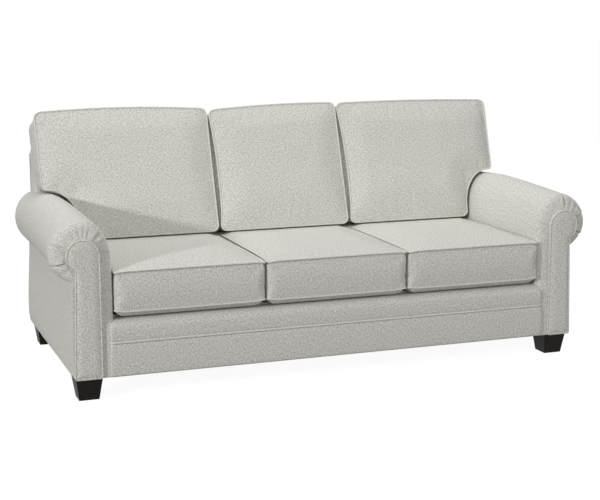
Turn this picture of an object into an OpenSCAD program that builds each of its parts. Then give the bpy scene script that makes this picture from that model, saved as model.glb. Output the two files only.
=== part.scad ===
// Three-seat sofa with rolled arms, keyhole front panels and loose boxed cushions.
// Origin: on the floor under the middle of the sofa. +X to the sitter's left arm
// as seen from the front right, -Y is the front, +Z is up. Millimetres.

/* [Whole sofa] */
// Width of the seat between the inside arms
seat_w = 1692; // [1500:2:1800]
// Depth of the body from the front panels to the outside back
body_d = 968; // [940:2:1000]
// Height of the body's lower edge above the floor
leg_h = 83; // [60:1:110]
// Height of the deck that the seat cushions lie on
deck_h = 292; // [285:1:300]

/* [Arms] */
// Width of an arm from its inside face to its outside face
arm_w = 146; // [140:1:160]
// Height of an arm's roll at its highest point
arm_h = 661; // [650:1:675]
// Reach of the roll beyond the outside face
roll_out = 55; // [45:1:65]
// Height at which the roll meets the outside arm
join_h = 430; // [415:1:440]
// Depth of the rounded front edge of the roll
roll_edge = 24; // [14:1:30]
// Width of the stile of the front panel
panel_w = 99.6; // [92:0.2:104]
// Narrowing of the stile's outer edge up to the middle of the head
panel_neck = 14; // [4:1:20]
// Radius of the round head of the front panel
panel_head_r = 59.6; // [54:0.2:64]
// Height of the centre of the panel's round head
panel_head_h = 523.3; // [510:0.1:530]
// Thickness by which the panel stands in front of the arm
panel_t = 23; // [18:0.5:27]

/* [Back] */
// Height of the padded back frame behind the cushions
back_h = 815; // [800:1:840]
// Lean of the inside back from upright, in degrees
back_lean = 19.2; // [18:0.1:20]
// Thickness of the back at its top
back_top_t = 83; // [80:1:90]
// Reach of the upper back over each arm
wing_over = 132; // [128:1:138]
// Height of the lower edge of that reach
wing_h = 600; // [596:1:610]

/* [Seat cushions] */
// Height of the seat cushion's boxing between its two welts
seat_box = 144; // [130:1:155]
// Rise of the crown over the top welt
seat_crown = 25; // [15:1:30]
// Depth of the rounded underside below the lower welt
seat_under = 24; // [16:1:28]
// Set-back of the seat cushions' front behind the panels' front
seat_setback = 7; // [2:1:14]
// Slope of the top under the back cushion, in degrees
seat_slope = 5.2; // [4.5:0.1:6]
// Radius of a seat cushion's corners seen from above
seat_corner_r = 30; // [20:1:40]

/* [Back cushions] */
// Thickness of the back cushion's boxing
cushion_t = 163; // [150:1:170]
// Height of the cushion's top front edge above the floor
cushion_top_h = 964.7; // [940:0.1:985]
// Rise of the crown over the front welt
cushion_crown = 22; // [12:1:28]
// Upward bow of the cushion's top edge
top_bow = 12; // [4:1:16]
// Reach of the ear over the arm, from the inside arm
ear_over = 130; // [126:1:140]
// Outward flare of the ear up to the cushion's top
ear_flare = 13; // [6:1:18]
// Radius of a back cushion's corners seen from the front
cushion_corner_r = 25; // [20:1:34]

/* [Front] */
// Height of the welt across the front rail
welt_h = 207.7; // [195:0.1:220]
// Diameter of the welt cord
welt_d = 9; // [7:0.5:11]
// Lap of the front band over the front of each arm
band_lap = 20; // [14:1:24]
// Radius of the padded top edge of the front border
border_r = 26; // [18:1:30]

/* [Feet] */
// Side of the square top of a foot
foot_top = 97; // [88:1:100]
// Side of the square bottom of a foot
foot_bottom = 72; // [60:1:80]
// Distance of a foot's middle from the outside face of the arm
foot_side = 53.5; // [50:0.5:56]
// Distance of a front foot's middle from the front of the panels
foot_front = 74; // [72:0.5:80]
// Distance of a rear foot's middle from the outside back
foot_rear = 50.6; // [49:0.2:56]
// Diameter of the hanger bolt that holds a foot
bolt_d = 8; // [6:0.5:10]

/* [Frame] */
// Thickness of the frame's boards
board_t = 28; // [24:1:32]
// Thickness of the arm posts and side rails
post_t = 22; // [18:1:24]
// Height of the rear bottom rail
rear_rail_h = 80; // [60:1:110]
// Diameter of the spring wire
wire_d = 4; // [3:0.5:5]
// Number of seat springs
spring_count = 9; // [7:1:9]

/* [Padding and cloth] */
// Thickness of the dust cover under the sofa
dust_t = 2; // [1:0.5:3]
// Thickness of the pad on the inside arm
arm_pad = 28; // [24:1:32]
// Thickness of the pad and cloth on the outside arm
outer_pad = 10; // [6:1:12]
// Thickness of the cloth skin over the arm's front
front_skin = 3; // [2:0.5:4]
// Thickness of the pad on the inside back
back_pad = 28; // [24:1:34]
// Thickness of the outside back
back_skin = 8; // [5:1:10]
// Thickness of the deck cloth
deck_cloth_t = 4; // [3:0.5:5]
// Clearance between a cushion and what it lies against
soft_gap = 0.3; // [0.2:0.1:0.6]
// Clearance between a back cushion's notch and the arm's roll
notch_gap = 1.2; // [1:0.1:2]

/* [Hidden] */
$fn = 64;

// Colours
fabric = [0.81, 0.80, 0.77];
fabric_back = [0.77, 0.76, 0.73];
beech = [0.80, 0.66, 0.46];
ply = [0.74, 0.60, 0.42];
espresso = [0.12, 0.10, 0.08];
steel = [0.60, 0.61, 0.63];
foam = [0.93, 0.90, 0.78];
cloth_dark = [0.16, 0.16, 0.17];
webbing = [0.55, 0.45, 0.33];

// Planes of the body
x_in = seat_w / 2;
x_out = x_in + arm_w;
x_wing = x_in + wing_over;
x_ear = x_in + ear_over;
y_front = -body_d / 2;
y_rear = body_d / 2;
y_arm = y_front + panel_t;
y_back_skin = y_rear - back_skin;
bay_w = seat_w / 3;
over = 1;

// Base frame
back_cap = 20;
back_rail_z1 = back_h - back_cap;
wood_z = leg_h + dust_t;
post_y0 = y_arm + front_skin;
post_y1 = post_y0 + post_t;
post_x0 = x_in + arm_pad;
post_inset = 4;
post_x1 = x_out - outer_pad - post_inset;
side_x1 = x_out - outer_pad;
side_x0 = side_x1 - post_t;
back_post_x0 = side_x0 - board_t;
back_post_y0 = y_back_skin - board_t;
clip_top = 2;
clip_h = wire_d + clip_top;
deck_pad_t = 22;
rail_top = deck_h - deck_cloth_t - deck_pad_t - wire_d;
pad_floor = rail_top + clip_h;
welt_proud = 4;
band_y = y_front + welt_proud;
rail_y0 = post_y0;
rail_y1 = rail_y0 + board_t;
back_rail_h = 40;
back_rail_d = 76;

// Plane of the inside back
function face_y(z) = y_rear - back_top_t - (back_h - z) * tan(back_lean);
lean_c = cos(back_lean);
lean_s = sin(back_lean);
// A point at distance m in front of the inside back and h up along its lean
function lean_point(x, h, m) =
  [x, face_y(0) + h * lean_s - m * lean_c, h * lean_c + m * lean_s];
module on_back() {
  translate([0, face_y(0), 0]) rotate([-back_lean, 0, 0]) children();
}
back_rail_in = 14;
back_rail_y0 = face_y(rail_top) + back_rail_in;
back_rail_y1 = back_rail_y0 + back_rail_d;

module side(s) {
  if (s < 0) mirror([1, 0, 0]) children();
  else children();
}
module both_sides() {
  children();
  mirror([1, 0, 0]) children();
}
// Box between two corners
module box(a, b) {
  translate(a) cube(b - a);
}
function lerp(a, b, t) = a + (b - a) * t;
function arc(c, r, a0, a1, n) =
  [for (k = [0:n]) c + r * [cos(lerp(a0, a1, k / n)), sin(lerp(a0, a1, k / n))]];

// Wooden frame
module front_rail() {
  color(beech) box([-post_x0, rail_y0, wood_z], [post_x0, rail_y1, rail_top]);
}
module back_rail() {
  color(beech) box([-side_x0, back_rail_y0, rail_top - back_rail_h],
                   [side_x0, back_rail_y1, rail_top]);
}
module rear_bottom_rail() {
  color(beech) box([-back_post_x0, back_post_y0, wood_z],
                   [back_post_x0, y_back_skin, wood_z + rear_rail_h]);
}
module side_rail(s) {
  color(beech) side(s) box([side_x0, post_y1, wood_z], [side_x1, y_back_skin, rail_top]);
}
stretcher_x = bay_w / 2;
module seat_stretchers() {
  color(beech) both_sides()
    box([stretcher_x - board_t / 2, rail_y1, wood_z],
        [stretcher_x + board_t / 2, back_post_y0, rail_top - back_rail_h]);
}

// Feet and what fastens them
foot_x = x_out - foot_side;
foot_y_front = y_front + foot_front;
foot_y_rear = y_rear - foot_rear;
block_h = 45;
block_d = 75;
nut_wall = 1.5;
nut_r = bolt_d / 2 + nut_wall;
nut_flange_w = 5.5;
nut_flange_r = nut_r + nut_flange_w;
nut_flange_t = 1.5;
bolt_gap = 0.05;
bolt_in_foot = 42;
module at_feet() {
  for (sx = [-1, 1], y = [foot_y_front, foot_y_rear]) translate([sx * foot_x, y, 0]) children();
}
module nut_cut() {
  cylinder(r = nut_r, h = block_h + over);
  translate([0, 0, block_h - nut_flange_t]) cylinder(r = nut_flange_r, h = nut_flange_t + over);
}
module corner_blocks() {
  color(beech) both_sides() {
    difference() {
      box([post_x0, post_y1, wood_z], [side_x0, post_y1 + block_d, wood_z + block_h]);
      translate([foot_x, foot_y_front, wood_z]) nut_cut();
    }
    difference() {
      box([post_x0, back_post_y0 - block_d, wood_z], [side_x0, back_post_y0, wood_z + block_h]);
      translate([foot_x, foot_y_rear, wood_z]) nut_cut();
    }
  }
}
module tee_nuts() {
  color(steel) at_feet() translate([0, 0, wood_z]) difference() {
    union() {
      cylinder(r = nut_r, h = block_h - nut_flange_t);
      translate([0, 0, block_h - nut_flange_t]) cylinder(r = nut_flange_r, h = nut_flange_t);
    }
    translate([0, 0, -over]) cylinder(d = bolt_d + 2 * bolt_gap, h = block_h + 2 * over);
  }
}
module hanger_bolts() {
  color(steel) at_feet()
    translate([0, 0, wood_z - bolt_in_foot]) cylinder(d = bolt_d, h = bolt_in_foot + block_h);
}
// Outline of a foot seen from the side
module taper() {
  polygon([[-foot_bottom / 2, 0], [foot_bottom / 2, 0], [foot_top / 2, leg_h], [-foot_top / 2, leg_h]]);
}
module foot(sx, y) {
  color(espresso) translate([sx * foot_x, y, 0]) difference() {
    intersection() {
      rotate([90, 0, 0]) translate([0, 0, -foot_top]) linear_extrude(2 * foot_top) taper();
      rotate([90, 0, 90]) translate([0, 0, -foot_top]) linear_extrude(2 * foot_top) taper();
    }
    translate([0, 0, wood_z - bolt_in_foot]) cylinder(d = bolt_d, h = bolt_in_foot + over);
  }
}
module dust_cover() {
  color(cloth_dark) difference() {
    box([-side_x1, rail_y0, leg_h], [side_x1, y_back_skin, wood_z]);
    at_feet() cylinder(d = bolt_d + 2 * bolt_gap, h = wood_z + over);
  }
}

// Arms
head_x = x_out - panel_w + panel_head_r;
post_lap = 10;
post_head_r = panel_head_r + post_lap;
top_rail_w = 80;
top_rail_drop = 32;
top_rail_z0 = wing_h - top_rail_drop;
top_rail_z1 = top_rail_z0 + post_t;
top_rail_x0 = head_x - top_rail_w / 2;
module post_outline() {
  translate([post_x0, wood_z]) square([post_x1 - post_x0, panel_head_h - wood_z]);
  translate([head_x, panel_head_h]) circle(r = post_head_r);
}
module post_solid() {
  translate([0, post_y1, 0]) rotate([90, 0, 0]) linear_extrude(post_t) post_outline();
}
module top_rail_solid() {
  box([top_rail_x0, post_y1, top_rail_z0], [top_rail_x0 + top_rail_w, back_post_y0, top_rail_z1]);
}
module back_post_solid() {
  box([back_post_x0, back_post_y0, wood_z], [side_x0, y_back_skin, back_rail_z1]);
}
module arm_post(s) {
  color(ply) side(s) post_solid();
}
module arm_top_rail(s) {
  color(beech) side(s) top_rail_solid();
}
module back_post(s) {
  color(beech) side(s) back_post_solid();
}

// The roll's section changes along the arm. Each row: place along the arm, drop of the
// crest, place of the crest across the arm, height of the inner and of the outer bend,
// reach beyond the outside face.
roll_shares = [
  [0.025, 0.078, 0.678, 0.295, 0.400, 1.24],
  [0.090, 0.060, 0.690, 0.290, 0.415, 1.18],
  [0.160, 0.044, 0.700, 0.280, 0.435, 1.08],
  [0.239, 0.028, 0.712, 0.274, 0.443, 1.02],
  [0.403, 0.006, 0.747, 0.242, 0.464, 1.00],
  [0.562, 0.000, 0.781, 0.211, 0.485, 1.00],
  [0.662, 0.010, 0.781, 0.211, 0.485, 1.00],
  [0.805, 0.052, 0.747, 0.211, 0.454, 1.00],
  [0.950, 0.106, 0.712, 0.211, 0.422, 1.00]
];
front_cap_shares = [[0, 0.935], [0.20, 0.972], [0.55, 0.993]];
rear_cap_shares = [[0.55, 0.985], [0.20, 0.945], [0, 0.88]];
roll_h = arm_h - join_h;
roll_steps = 6;
arm_l = y_rear - y_arm;
function roll_value(y, k, i = 0) =
  let (u = (y - y_arm) / arm_l, last = len(roll_shares) - 1)
  u <= roll_shares[0][0] ? roll_shares[0][k]
  : i >= last ? roll_shares[last][k]
  : u <= roll_shares[i + 1][0]
    ? lerp(roll_shares[i][k], roll_shares[i + 1][k],
           (u - roll_shares[i][0]) / (roll_shares[i + 1][0] - roll_shares[i][0]))
  : roll_value(y, k, i + 1);
function crest_z(y) = arm_h - roll_h * roll_value(y, 1);
function crest_x(y) = x_in + arm_w * roll_value(y, 2);
function inner_z(y) = join_h + roll_h * roll_value(y, 3);
function outer_z(y) = join_h + roll_h * roll_value(y, 4);
// The section at y as points [x, z]: up the inside, over the crest and down the outside
function roll_section(y) =
  let (cx = crest_x(y), top = crest_z(y), zi = inner_z(y), zo = outer_z(y),
       a = x_out + roll_out * roll_value(y, 5) - cx, low = acos((x_out - cx) / a),
       b = (zo - join_h) / sin(low))
  concat(
    [[x_in, join_h]],
    [for (k = [0:roll_steps]) let (t = 180 - 90 * k / roll_steps)
      [cx + (cx - x_in) * cos(t), zi + (top - zi) * sin(t)]],
    [for (k = [1:roll_steps]) let (t = 90 - 90 * k / roll_steps)
      [cx + a * cos(t), zo + (top - zo) * sin(t)]],
    [for (k = [1:roll_steps]) let (t = -low * k / roll_steps) [cx + a * cos(t), zo + b * sin(t)]]
  );
function drawn_section(pts, c, f) =
  [for (p = pts) [c[0] + (p[0] - c[0]) * f, p[1] <= join_h + over ? join_h : c[1] + (p[1] - c[1]) * f]];
function ring_at(y, pts) = [for (p = pts) [p[0], y, p[1]]];
roll_y0 = y_arm + roll_edge;
roll_y1 = y_rear - roll_edge;
roll_centre = [head_x, panel_head_h];
roll_rings = concat(
  [for (c = front_cap_shares)
    ring_at(y_arm + c[0] * roll_edge, drawn_section(roll_section(roll_y0), roll_centre, c[1]))],
  [for (r = roll_shares) let (y = lerp(roll_y0, roll_y1, (r[0] - roll_shares[0][0]) /
      (roll_shares[len(roll_shares) - 1][0] - roll_shares[0][0])))
    ring_at(y, roll_section(y))],
  [for (c = rear_cap_shares)
    ring_at(y_rear - c[0] * roll_edge, drawn_section(roll_section(roll_y1), roll_centre, c[1]))]
);
// Skin of rings with closed ends; the rings run clockwise seen from the first one's end
module lofted(rings) {
  n = len(rings[0]);
  m = len(rings);
  polyhedron(
    points = [for (r = rings) each r],
    faces = concat(
      [[for (i = [0:n - 1]) i]],
      [for (k = [0:m - 2], i = [0:n - 1]) let (j = (i + 1) % n)
        each [[k * n + i, (k + 1) * n + i, (k + 1) * n + j], [k * n + i, (k + 1) * n + j, k * n + j]]],
      [[for (i = [n - 1:-1:0]) (m - 1) * n + i]]
    )
  );
}
module wing_cut() {
  intersection() {
    translate([0, 0, 0]) on_back() box([x_in - over, 0, 0], [x_wing, body_d, body_d + back_h]);
    box([x_in - over, y_front, wing_h], [x_wing, y_rear + over, back_h + over]);
  }
}
module arm_roll(s) {
  color(fabric) side(s) difference() {
    lofted(roll_rings);
    post_solid();
    top_rail_solid();
    back_post_solid();
    wing_cut();
    box([x_in - over, y_back_skin, 0], [x_wing, y_rear + over, back_h]);
  }
}
arm_corner_r = 12;
module inside_arm(s) {
  color(fabric) side(s) {
    translate([0, 0, pad_floor]) linear_extrude(join_h - pad_floor)
      polygon(concat(
        arc([x_in + arm_corner_r, y_arm + arm_corner_r], arm_corner_r, 180, 270, 5),
        [[side_x1, y_arm], [side_x1, post_y0], [post_x0, post_y0], [post_x0, y_back_skin],
         [x_in, y_back_skin]]));
    translate([0, 0, leg_h]) linear_extrude(pad_floor - leg_h)
      polygon([[post_x0, y_arm], [side_x1, y_arm], [side_x1, post_y0], [post_x0, post_y0]]);
  }
}
module outside_arm(s) {
  color(fabric) side(s) translate([0, 0, leg_h]) linear_extrude(join_h - leg_h)
    polygon([[side_x1, y_arm], [x_out, y_arm], [x_out, y_rear], [x_wing, y_rear], [x_wing, y_back_skin],
             [side_x1, y_back_skin]]);
}
module front_panel(s) {
  color(fabric) side(s) translate([0, y_arm, 0]) rotate([90, 0, 0]) linear_extrude(panel_t) {
    polygon([[x_out - panel_w, leg_h], [x_out, leg_h], [x_out - panel_neck, panel_head_h],
             [x_out - panel_w, panel_head_h]]);
    translate([head_x, panel_head_h]) circle(r = panel_head_r);
  }
}

// Front of the seat
band_x = x_in + band_lap;
border_d = 60;
module front_border() {
  color(fabric) {
    translate([-band_x, 0, 0]) rotate([90, 0, 90]) linear_extrude(2 * band_x)
      polygon(concat([[y_arm, welt_h + welt_d / 2], [y_arm, deck_h - border_r / 3]],
        arc([band_y + border_r, deck_h - border_r], border_r, 115, 180, 6),
        [[band_y, welt_h + welt_d / 2]]));
    translate([-x_in, 0, 0]) rotate([90, 0, 90]) linear_extrude(2 * x_in)
      polygon(concat([[rail_y0 + border_d, pad_floor], [rail_y0 + border_d, deck_h]],
        arc([band_y + border_r, deck_h - border_r], border_r, 90, 115, 3),
        [[y_arm, deck_h - border_r / 3], [y_arm, pad_floor]]));
  }
}
module front_band() {
  color(fabric) {
    box([-band_x, band_y, leg_h], [band_x, y_arm, welt_h - welt_d / 2]);
    box([-x_in, y_arm, leg_h], [x_in, rail_y0, pad_floor]);
  }
}
module front_welt() {
  color(fabric) translate([-band_x, y_front + welt_d / 2, welt_h]) rotate([0, 90, 0])
    cylinder(d = welt_d, h = 2 * band_x);
}

// Springs, deck and back suspension
spring_w = 50;
wave_l = 80;
spring_y0 = (rail_y0 + rail_y1) / 2;
spring_lap = 10;
spring_y1 = back_rail_y0 + spring_lap;
spring_step = seat_w / spring_count;
function wave_points() =
  let (l = spring_y1 - spring_y0, n = 2 * floor(l / wave_l), p = l / n)
  [for (k = [0:n - 1]) let (s = k % 2 == 0 ? 1 : -1)
    each [[s * spring_w / 2, spring_y0 + p * k], [s * spring_w / 2, spring_y0 + p * (k + 1)]]];
// A flat wire zigzag: bars across the path joined by bars along it
module spring() {
  p = wave_points();
  translate([0, 0, rail_top]) linear_extrude(wire_d) union() {
    for (k = [0:len(p) - 2]) let (a = p[k], b = p[k + 1])
      translate([min(a[0], b[0]) - wire_d / 2, min(a[1], b[1]) - wire_d / 2])
        square([abs(b[0] - a[0]) + wire_d, abs(b[1] - a[1]) + wire_d]);
  }
}
module at_springs() {
  for (k = [0:spring_count - 1]) translate([(k - (spring_count - 1) / 2) * spring_step, 0, 0]) children();
}
module seat_springs() {
  color(steel) at_springs() spring();
}
clip_w = 16;
clip_l = 14;
module clip(x, y) {
  difference() {
    translate([x - clip_w / 2, y - clip_l / 2, rail_top]) cube([clip_w, clip_l, clip_h]);
    translate([x - wire_d / 2, y - clip_l, rail_top - over]) cube([wire_d, 2 * clip_l, wire_d + over]);
  }
}
module spring_clips() {
  color(steel) at_springs() {
    clip(spring_w / 2, spring_y0 + clip_l / 2 + wire_d);
    clip(-spring_w / 2, spring_y1 - clip_l / 2 - wire_d);
  }
}
deck_y0 = rail_y0 + border_d;
deck_y1 = face_y(pad_floor);
module deck_pad() {
  color(foam) box([-x_in, deck_y0, rail_top + wire_d], [x_in, deck_y1, deck_h - deck_cloth_t]);
}
module deck_cloth() {
  color(cloth_dark) box([-x_in, deck_y0, deck_h - deck_cloth_t], [x_in, deck_y1, deck_h]);
}
strap_t = 2;
strap_w = 60;
strap_count = 5;
upright_d = 55;
upright_x = [-x_in + board_t, -stretcher_x, stretcher_x, x_in - board_t];
top_rail_d = 40;
top_rail_h = 38;
module back_uprights() {
  color(beech) intersection() {
    on_back() for (x = upright_x)
      translate([x - board_t / 2, back_pad + strap_t, 0]) cube([board_t, upright_d, 2 * back_h]);
    box([-x_in, 0, rail_top], [x_in, y_rear, back_rail_z1 - top_rail_h]);
  }
}
module back_top_rail() {
  color(beech) box([-back_post_x0, y_back_skin - top_rail_d, back_rail_z1 - top_rail_h],
                   [back_post_x0, y_back_skin, back_rail_z1]);
}
slat_h = 70;
slat_lift = 50;
slat_z = deck_h + slat_lift;
module back_slat() {
  color(beech) on_back()
    box([-x_in + board_t / 2, back_pad + strap_t + upright_d, slat_z],
        [x_in - board_t / 2, back_pad + strap_t + upright_d + post_t, slat_z + slat_h]);
}
strap_lift = 60;
strap_drop = 90;
strap_h0 = deck_h + strap_lift;
strap_h1 = back_h - strap_drop;
module back_webbing() {
  color(webbing) on_back() for (k = [0:strap_count - 1])
    translate([-x_in + board_t / 2, back_pad, lerp(strap_h0, strap_h1, k / (strap_count - 1))])
      cube([seat_w - board_t, strap_t, strap_w]);
}

// Padded back, as an outline [y, z] run across the sofa
back_front_r = 30;
back_rear_r = 25;
back_seam = 5;
skin_h = back_h - back_rear_r - back_seam;
back_outline = concat(
  [[face_y(pad_floor), pad_floor]],
  arc([face_y(back_h - back_front_r) + back_front_r / lean_c, back_h - back_front_r],
      back_front_r, 180 - back_lean, 90, 6),
  arc([y_rear - back_rear_r, back_h - back_rear_r], back_rear_r, 90, 0, 5),
  [[y_rear, skin_h], [y_back_skin, skin_h], [y_back_skin, pad_floor]]
);
function cavity_y(z) = face_y(z) + back_pad / lean_c;
module inside_back() {
  color(fabric) difference() {
    translate([-x_wing, 0, 0]) rotate([90, 0, 90]) linear_extrude(2 * x_wing) polygon(back_outline);
    translate([-side_x0, 0, 0]) rotate([90, 0, 90]) linear_extrude(2 * side_x0)
      polygon([[cavity_y(leg_h), leg_h], [cavity_y(back_rail_z1), back_rail_z1],
               [y_back_skin, back_rail_z1], [y_back_skin, leg_h]]);
    both_sides() box([x_in, y_front, leg_h], [x_wing + over, y_rear, wing_h]);
  }
}
module outside_back() {
  color(fabric_back) box([-x_wing, y_back_skin, leg_h], [x_wing, y_rear, skin_h]);
}

// Soft forms. A face is a grid of points [a, b, rise]; columns past ci and rows under cj
// are left out, which cuts a notch out of its corner.
function round_corner(p, q, r) =
  let (a = (r - (p[0] - q[0]) * q[2]) / r, b = (r - (p[1] - q[1]) * q[3]) / r)
  a <= 0 || b <= 0 || a > 1.001 || b > 1.001 ? p
  : [q[0] + q[2] * (r - r * a * sqrt(1 - b * b / 2)), q[1] + q[3] * (r - r * b * sqrt(1 - a * a / 2))];
function rounded(p, corners, r, k = 0) =
  k >= len(corners) ? p : rounded(round_corner(p, corners[k], r), corners, r, k + 1);
function loop_ids(nx, ny, ci, cj) = concat(
  [for (i = [0:1:ci]) [i, 0]],
  [for (j = [1:1:cj]) [ci, j]],
  [for (i = [ci + 1:1:nx]) [i, cj]],
  [for (j = [cj + 1:1:ny]) [nx, j]],
  [for (i = [nx - 1:-1:0]) [i, ny]],
  [for (j = [ny - 1:-1:1]) [0, j]]);
function inset_loop(pts, d) = let (n = len(pts))
  [for (k = [0:n - 1]) let (e = pts[(k + 1) % n] - pts[(k + n - 1) % n], l = norm(e))
    [pts[k][0] - e[1] / l * d, pts[k][1] + e[0] / l * d]];
function swell(d, w) = d >= w ? 1 : 1 - pow(1 - max(d, 0) / w, 2.5);
// grid: crowned face, one column of points per list. loops: the rings below it, in order.
module soft_form(grid, ci, cj, loops, centre) {
  nx = len(grid) - 1;
  ny = len(grid[0]) - 1;
  ids = loop_ids(nx, ny, ci, cj);
  n = len(ids);
  base = (nx + 1) * (ny + 1);
  edge = [for (q = ids) q[0] * (ny + 1) + q[1]];
  all = concat([edge], [for (k = [0:len(loops) - 1]) [for (i = [0:n - 1]) base + k * n + i]]);
  mid = base + len(loops) * n;
  polyhedron(
    points = concat([for (c = grid) each c], [for (l = loops) each l], [centre]),
    faces = concat(
      [for (i = [0:nx - 1], j = [0:ny - 1]) if (i < ci || j >= cj)
        let (a = i * (ny + 1) + j, b = a + 1, d = a + ny + 1, c = d + 1) each [[a, b, c], [a, c, d]]],
      [for (k = [0:len(all) - 2], i = [0:n - 1]) let (j = (i + 1) % n)
        each [[all[k][i], all[k][j], all[k + 1][j]], [all[k][i], all[k + 1][j], all[k + 1][i]]]],
      [for (i = [0:n - 1]) [all[len(all) - 1][i], all[len(all) - 1][(i + 1) % n], mid]])
  );
}

// Seat cushions
seat_top = deck_h + soft_gap + seat_under + seat_box;
seat_low = deck_h + soft_gap + seat_under;
seat_floor = deck_h + soft_gap;
seat_y0 = y_front + seat_setback;
seat_y1 = face_y(seat_low) - soft_gap;
seat_y_mid = (seat_y0 + seat_y1) / 2;
cushion_hw = bay_w / 2 - soft_gap;
cushion_hd = (seat_y1 - seat_y0) / 2;
boxing_sink = 3;
edge_sink = 3;
// Where the back cushion's lower front edge lies on the seat
rest_z = seat_top + 0.55 * seat_crown;
rest_h = (rest_z + soft_gap - (cushion_t + soft_gap) * lean_s) / lean_c;
rest_y = lean_point(0, rest_h, cushion_t + soft_gap)[1];
function rest_plane(y) = rest_z - (y - rest_y) * tan(seat_slope);
edge_shares = [0, 0.5, 1];
function cuts(w, r, mids) = concat(
  [for (e = edge_shares) -w + e * r], [for (m = mids) m * w], [for (k = [2:-1:0]) w - edge_shares[k] * r]);
seat_x_shares = [-0.6, -0.2, 0.2, 0.6];
seat_y_shares = [-0.72, -0.4, -0.08, 0.25, 0.5, 0.68, 0.84];
function seat_plan(x, y) =
  let (p = rounded([x, y], [for (sx = [-1, 1], sy = [-1, 1]) [sx * cushion_hw, sy * cushion_hd, -sx, -sy]],
                   seat_corner_r),
       u = x / cushion_hw, v = y / cushion_hd)
  [p[0] - edge_sink * pow(u, 3) * (1 - v * v), p[1] + (v < 0 ? edge_sink * pow(-v, 3) * (1 - u * u) : 0)];
function seat_rise(x, y) =
  min(seat_top + seat_crown * swell(cushion_hw - abs(x), 0.8 * cushion_hw)
        * swell(cushion_hd - abs(y), 0.6 * cushion_hd),
      max(seat_top, rest_plane(y + seat_y_mid)));
seat_xs = cuts(cushion_hw, seat_corner_r, seat_x_shares);
seat_ys = cuts(cushion_hd, seat_corner_r, seat_y_shares);
seat_grid = [for (x = seat_xs) [for (y = seat_ys) let (p = seat_plan(x, y)) [p[0], p[1], seat_rise(x, y)]]];
seat_nx = len(seat_xs) - 1;
seat_edge = [for (q = loop_ids(seat_nx, len(seat_ys) - 1, seat_nx, 0)) let (g = seat_grid[q[0]][q[1]]) [g[0], g[1]]];
seat_ring_shares = [[1 / 3, 1], [2 / 3, 1]];
under_shares = [[0, 0], [0.62, 0.4], [1, 1.5]];
seat_rings = concat(
  [for (r = seat_ring_shares) [for (p = inset_loop(seat_edge, boxing_sink * r[1])) [p[0], p[1], seat_top - r[0] * seat_box]]],
  [for (r = under_shares) [for (p = inset_loop(seat_edge, seat_under * r[1])) [p[0], p[1], seat_low - r[0] * seat_under]]]);
core_margin = 46;
core_low = 26;
core_high = 24;
module seat_core_solid() {
  box([-cushion_hw + core_margin, -cushion_hd + core_margin, seat_floor + core_low],
      [cushion_hw - core_margin, cushion_hd - core_margin, seat_top - core_high]);
}
module at_bay(bay) {
  translate([bay * bay_w, seat_y_mid, 0]) children();
}
module seat_cushion(bay) {
  color(fabric) at_bay(bay) difference() {
    soft_form(seat_grid, seat_nx, 0, seat_rings, [0, 0, seat_floor]);
    seat_core_solid();
  }
}
module seat_core(bay) {
  color(foam) at_bay(bay) seat_core_solid();
}
zip_t = 2.2;
zip_w = 24;
zip_l = 0.78 * bay_w;
module seat_zip(bay) {
  color(cloth_dark) at_bay(bay)
    translate([-zip_l / 2, cushion_hd - boxing_sink, seat_low + (seat_box - zip_w) / 2])
      cube([zip_l, zip_t, zip_w]);
}

// Back cushions, in the plane of the inside back: x across, h along the lean, m forwards
cushion_h1 = (cushion_top_h - (cushion_t + soft_gap) * lean_s) / lean_c;
function low_h(m) =
  let (t = tan(seat_slope))
  (rest_z + soft_gap - (face_y(0) - rest_y) * t + m * (lean_c * t - lean_s)) / (lean_c + lean_s * t);
// The notch over the arm follows the arm's section where the cushion's front meets it
notch_y = rest_y;
notch_cx = crest_x(notch_y);
notch_zi = inner_z(notch_y);
notch_top = crest_z(notch_y) + notch_gap;
notch_x = x_in - notch_gap;
function at_height(z, m) = (z - m * lean_s) / lean_c;
function notch_point(t, m) =
  [notch_cx + (notch_cx - notch_x) * cos(t), at_height(notch_zi + (notch_top - notch_zi) * sin(t), m)];
in_x = bay_w / 2 + soft_gap;
corner = cushion_corner_r;
outer_xs = concat([for (e = edge_shares) in_x + e * corner],
  [for (t = [0.25, 0.5, 0.75]) lerp(in_x, notch_x, t)],
  [notch_x - corner, notch_x - corner / 2, notch_x],
  [for (t = [0.35, 0.7]) lerp(notch_x, notch_cx, t)],
  [for (k = [2:-1:0]) x_ear - edge_shares[k] * corner]);
outer_ci = 8;
outer_cj = 6;
// Where the bend from the upright side to the ear's underside begins
function bend_h(m) = max(at_height(notch_zi, m), low_h(m) + corner);
function outer_hs(m) =
  let (a = low_h(m), b = at_height(notch_top, m))
  concat([for (e = edge_shares) a + e * corner], [for (t = [0.25, 0.55, 0.8, 1]) lerp(bend_h(m), b, t)],
    [b + corner / 2, b + corner], [for (t = [0.33, 0.66]) lerp(b + corner, cushion_h1 - corner, t)],
    [for (k = [2:-1:0]) cushion_h1 - edge_shares[k] * corner]);
function bowed(p, x0, x1, m) =
  let (u = (2 * p[0] - x0 - x1) / (x1 - x0), v = max(0, (p[1] - low_h(m)) / (cushion_h1 - low_h(m))))
  [p[0], p[1] + top_bow * pow(v, 3) * (1 - u * u)];
function flared(p, m) =
  let (v = (p[1] - low_h(m)) / (cushion_h1 - low_h(m)))
  [p[0] + ear_flare * v * max(0, (p[0] - notch_x) / (x_ear - notch_x)), p[1]];
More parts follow.
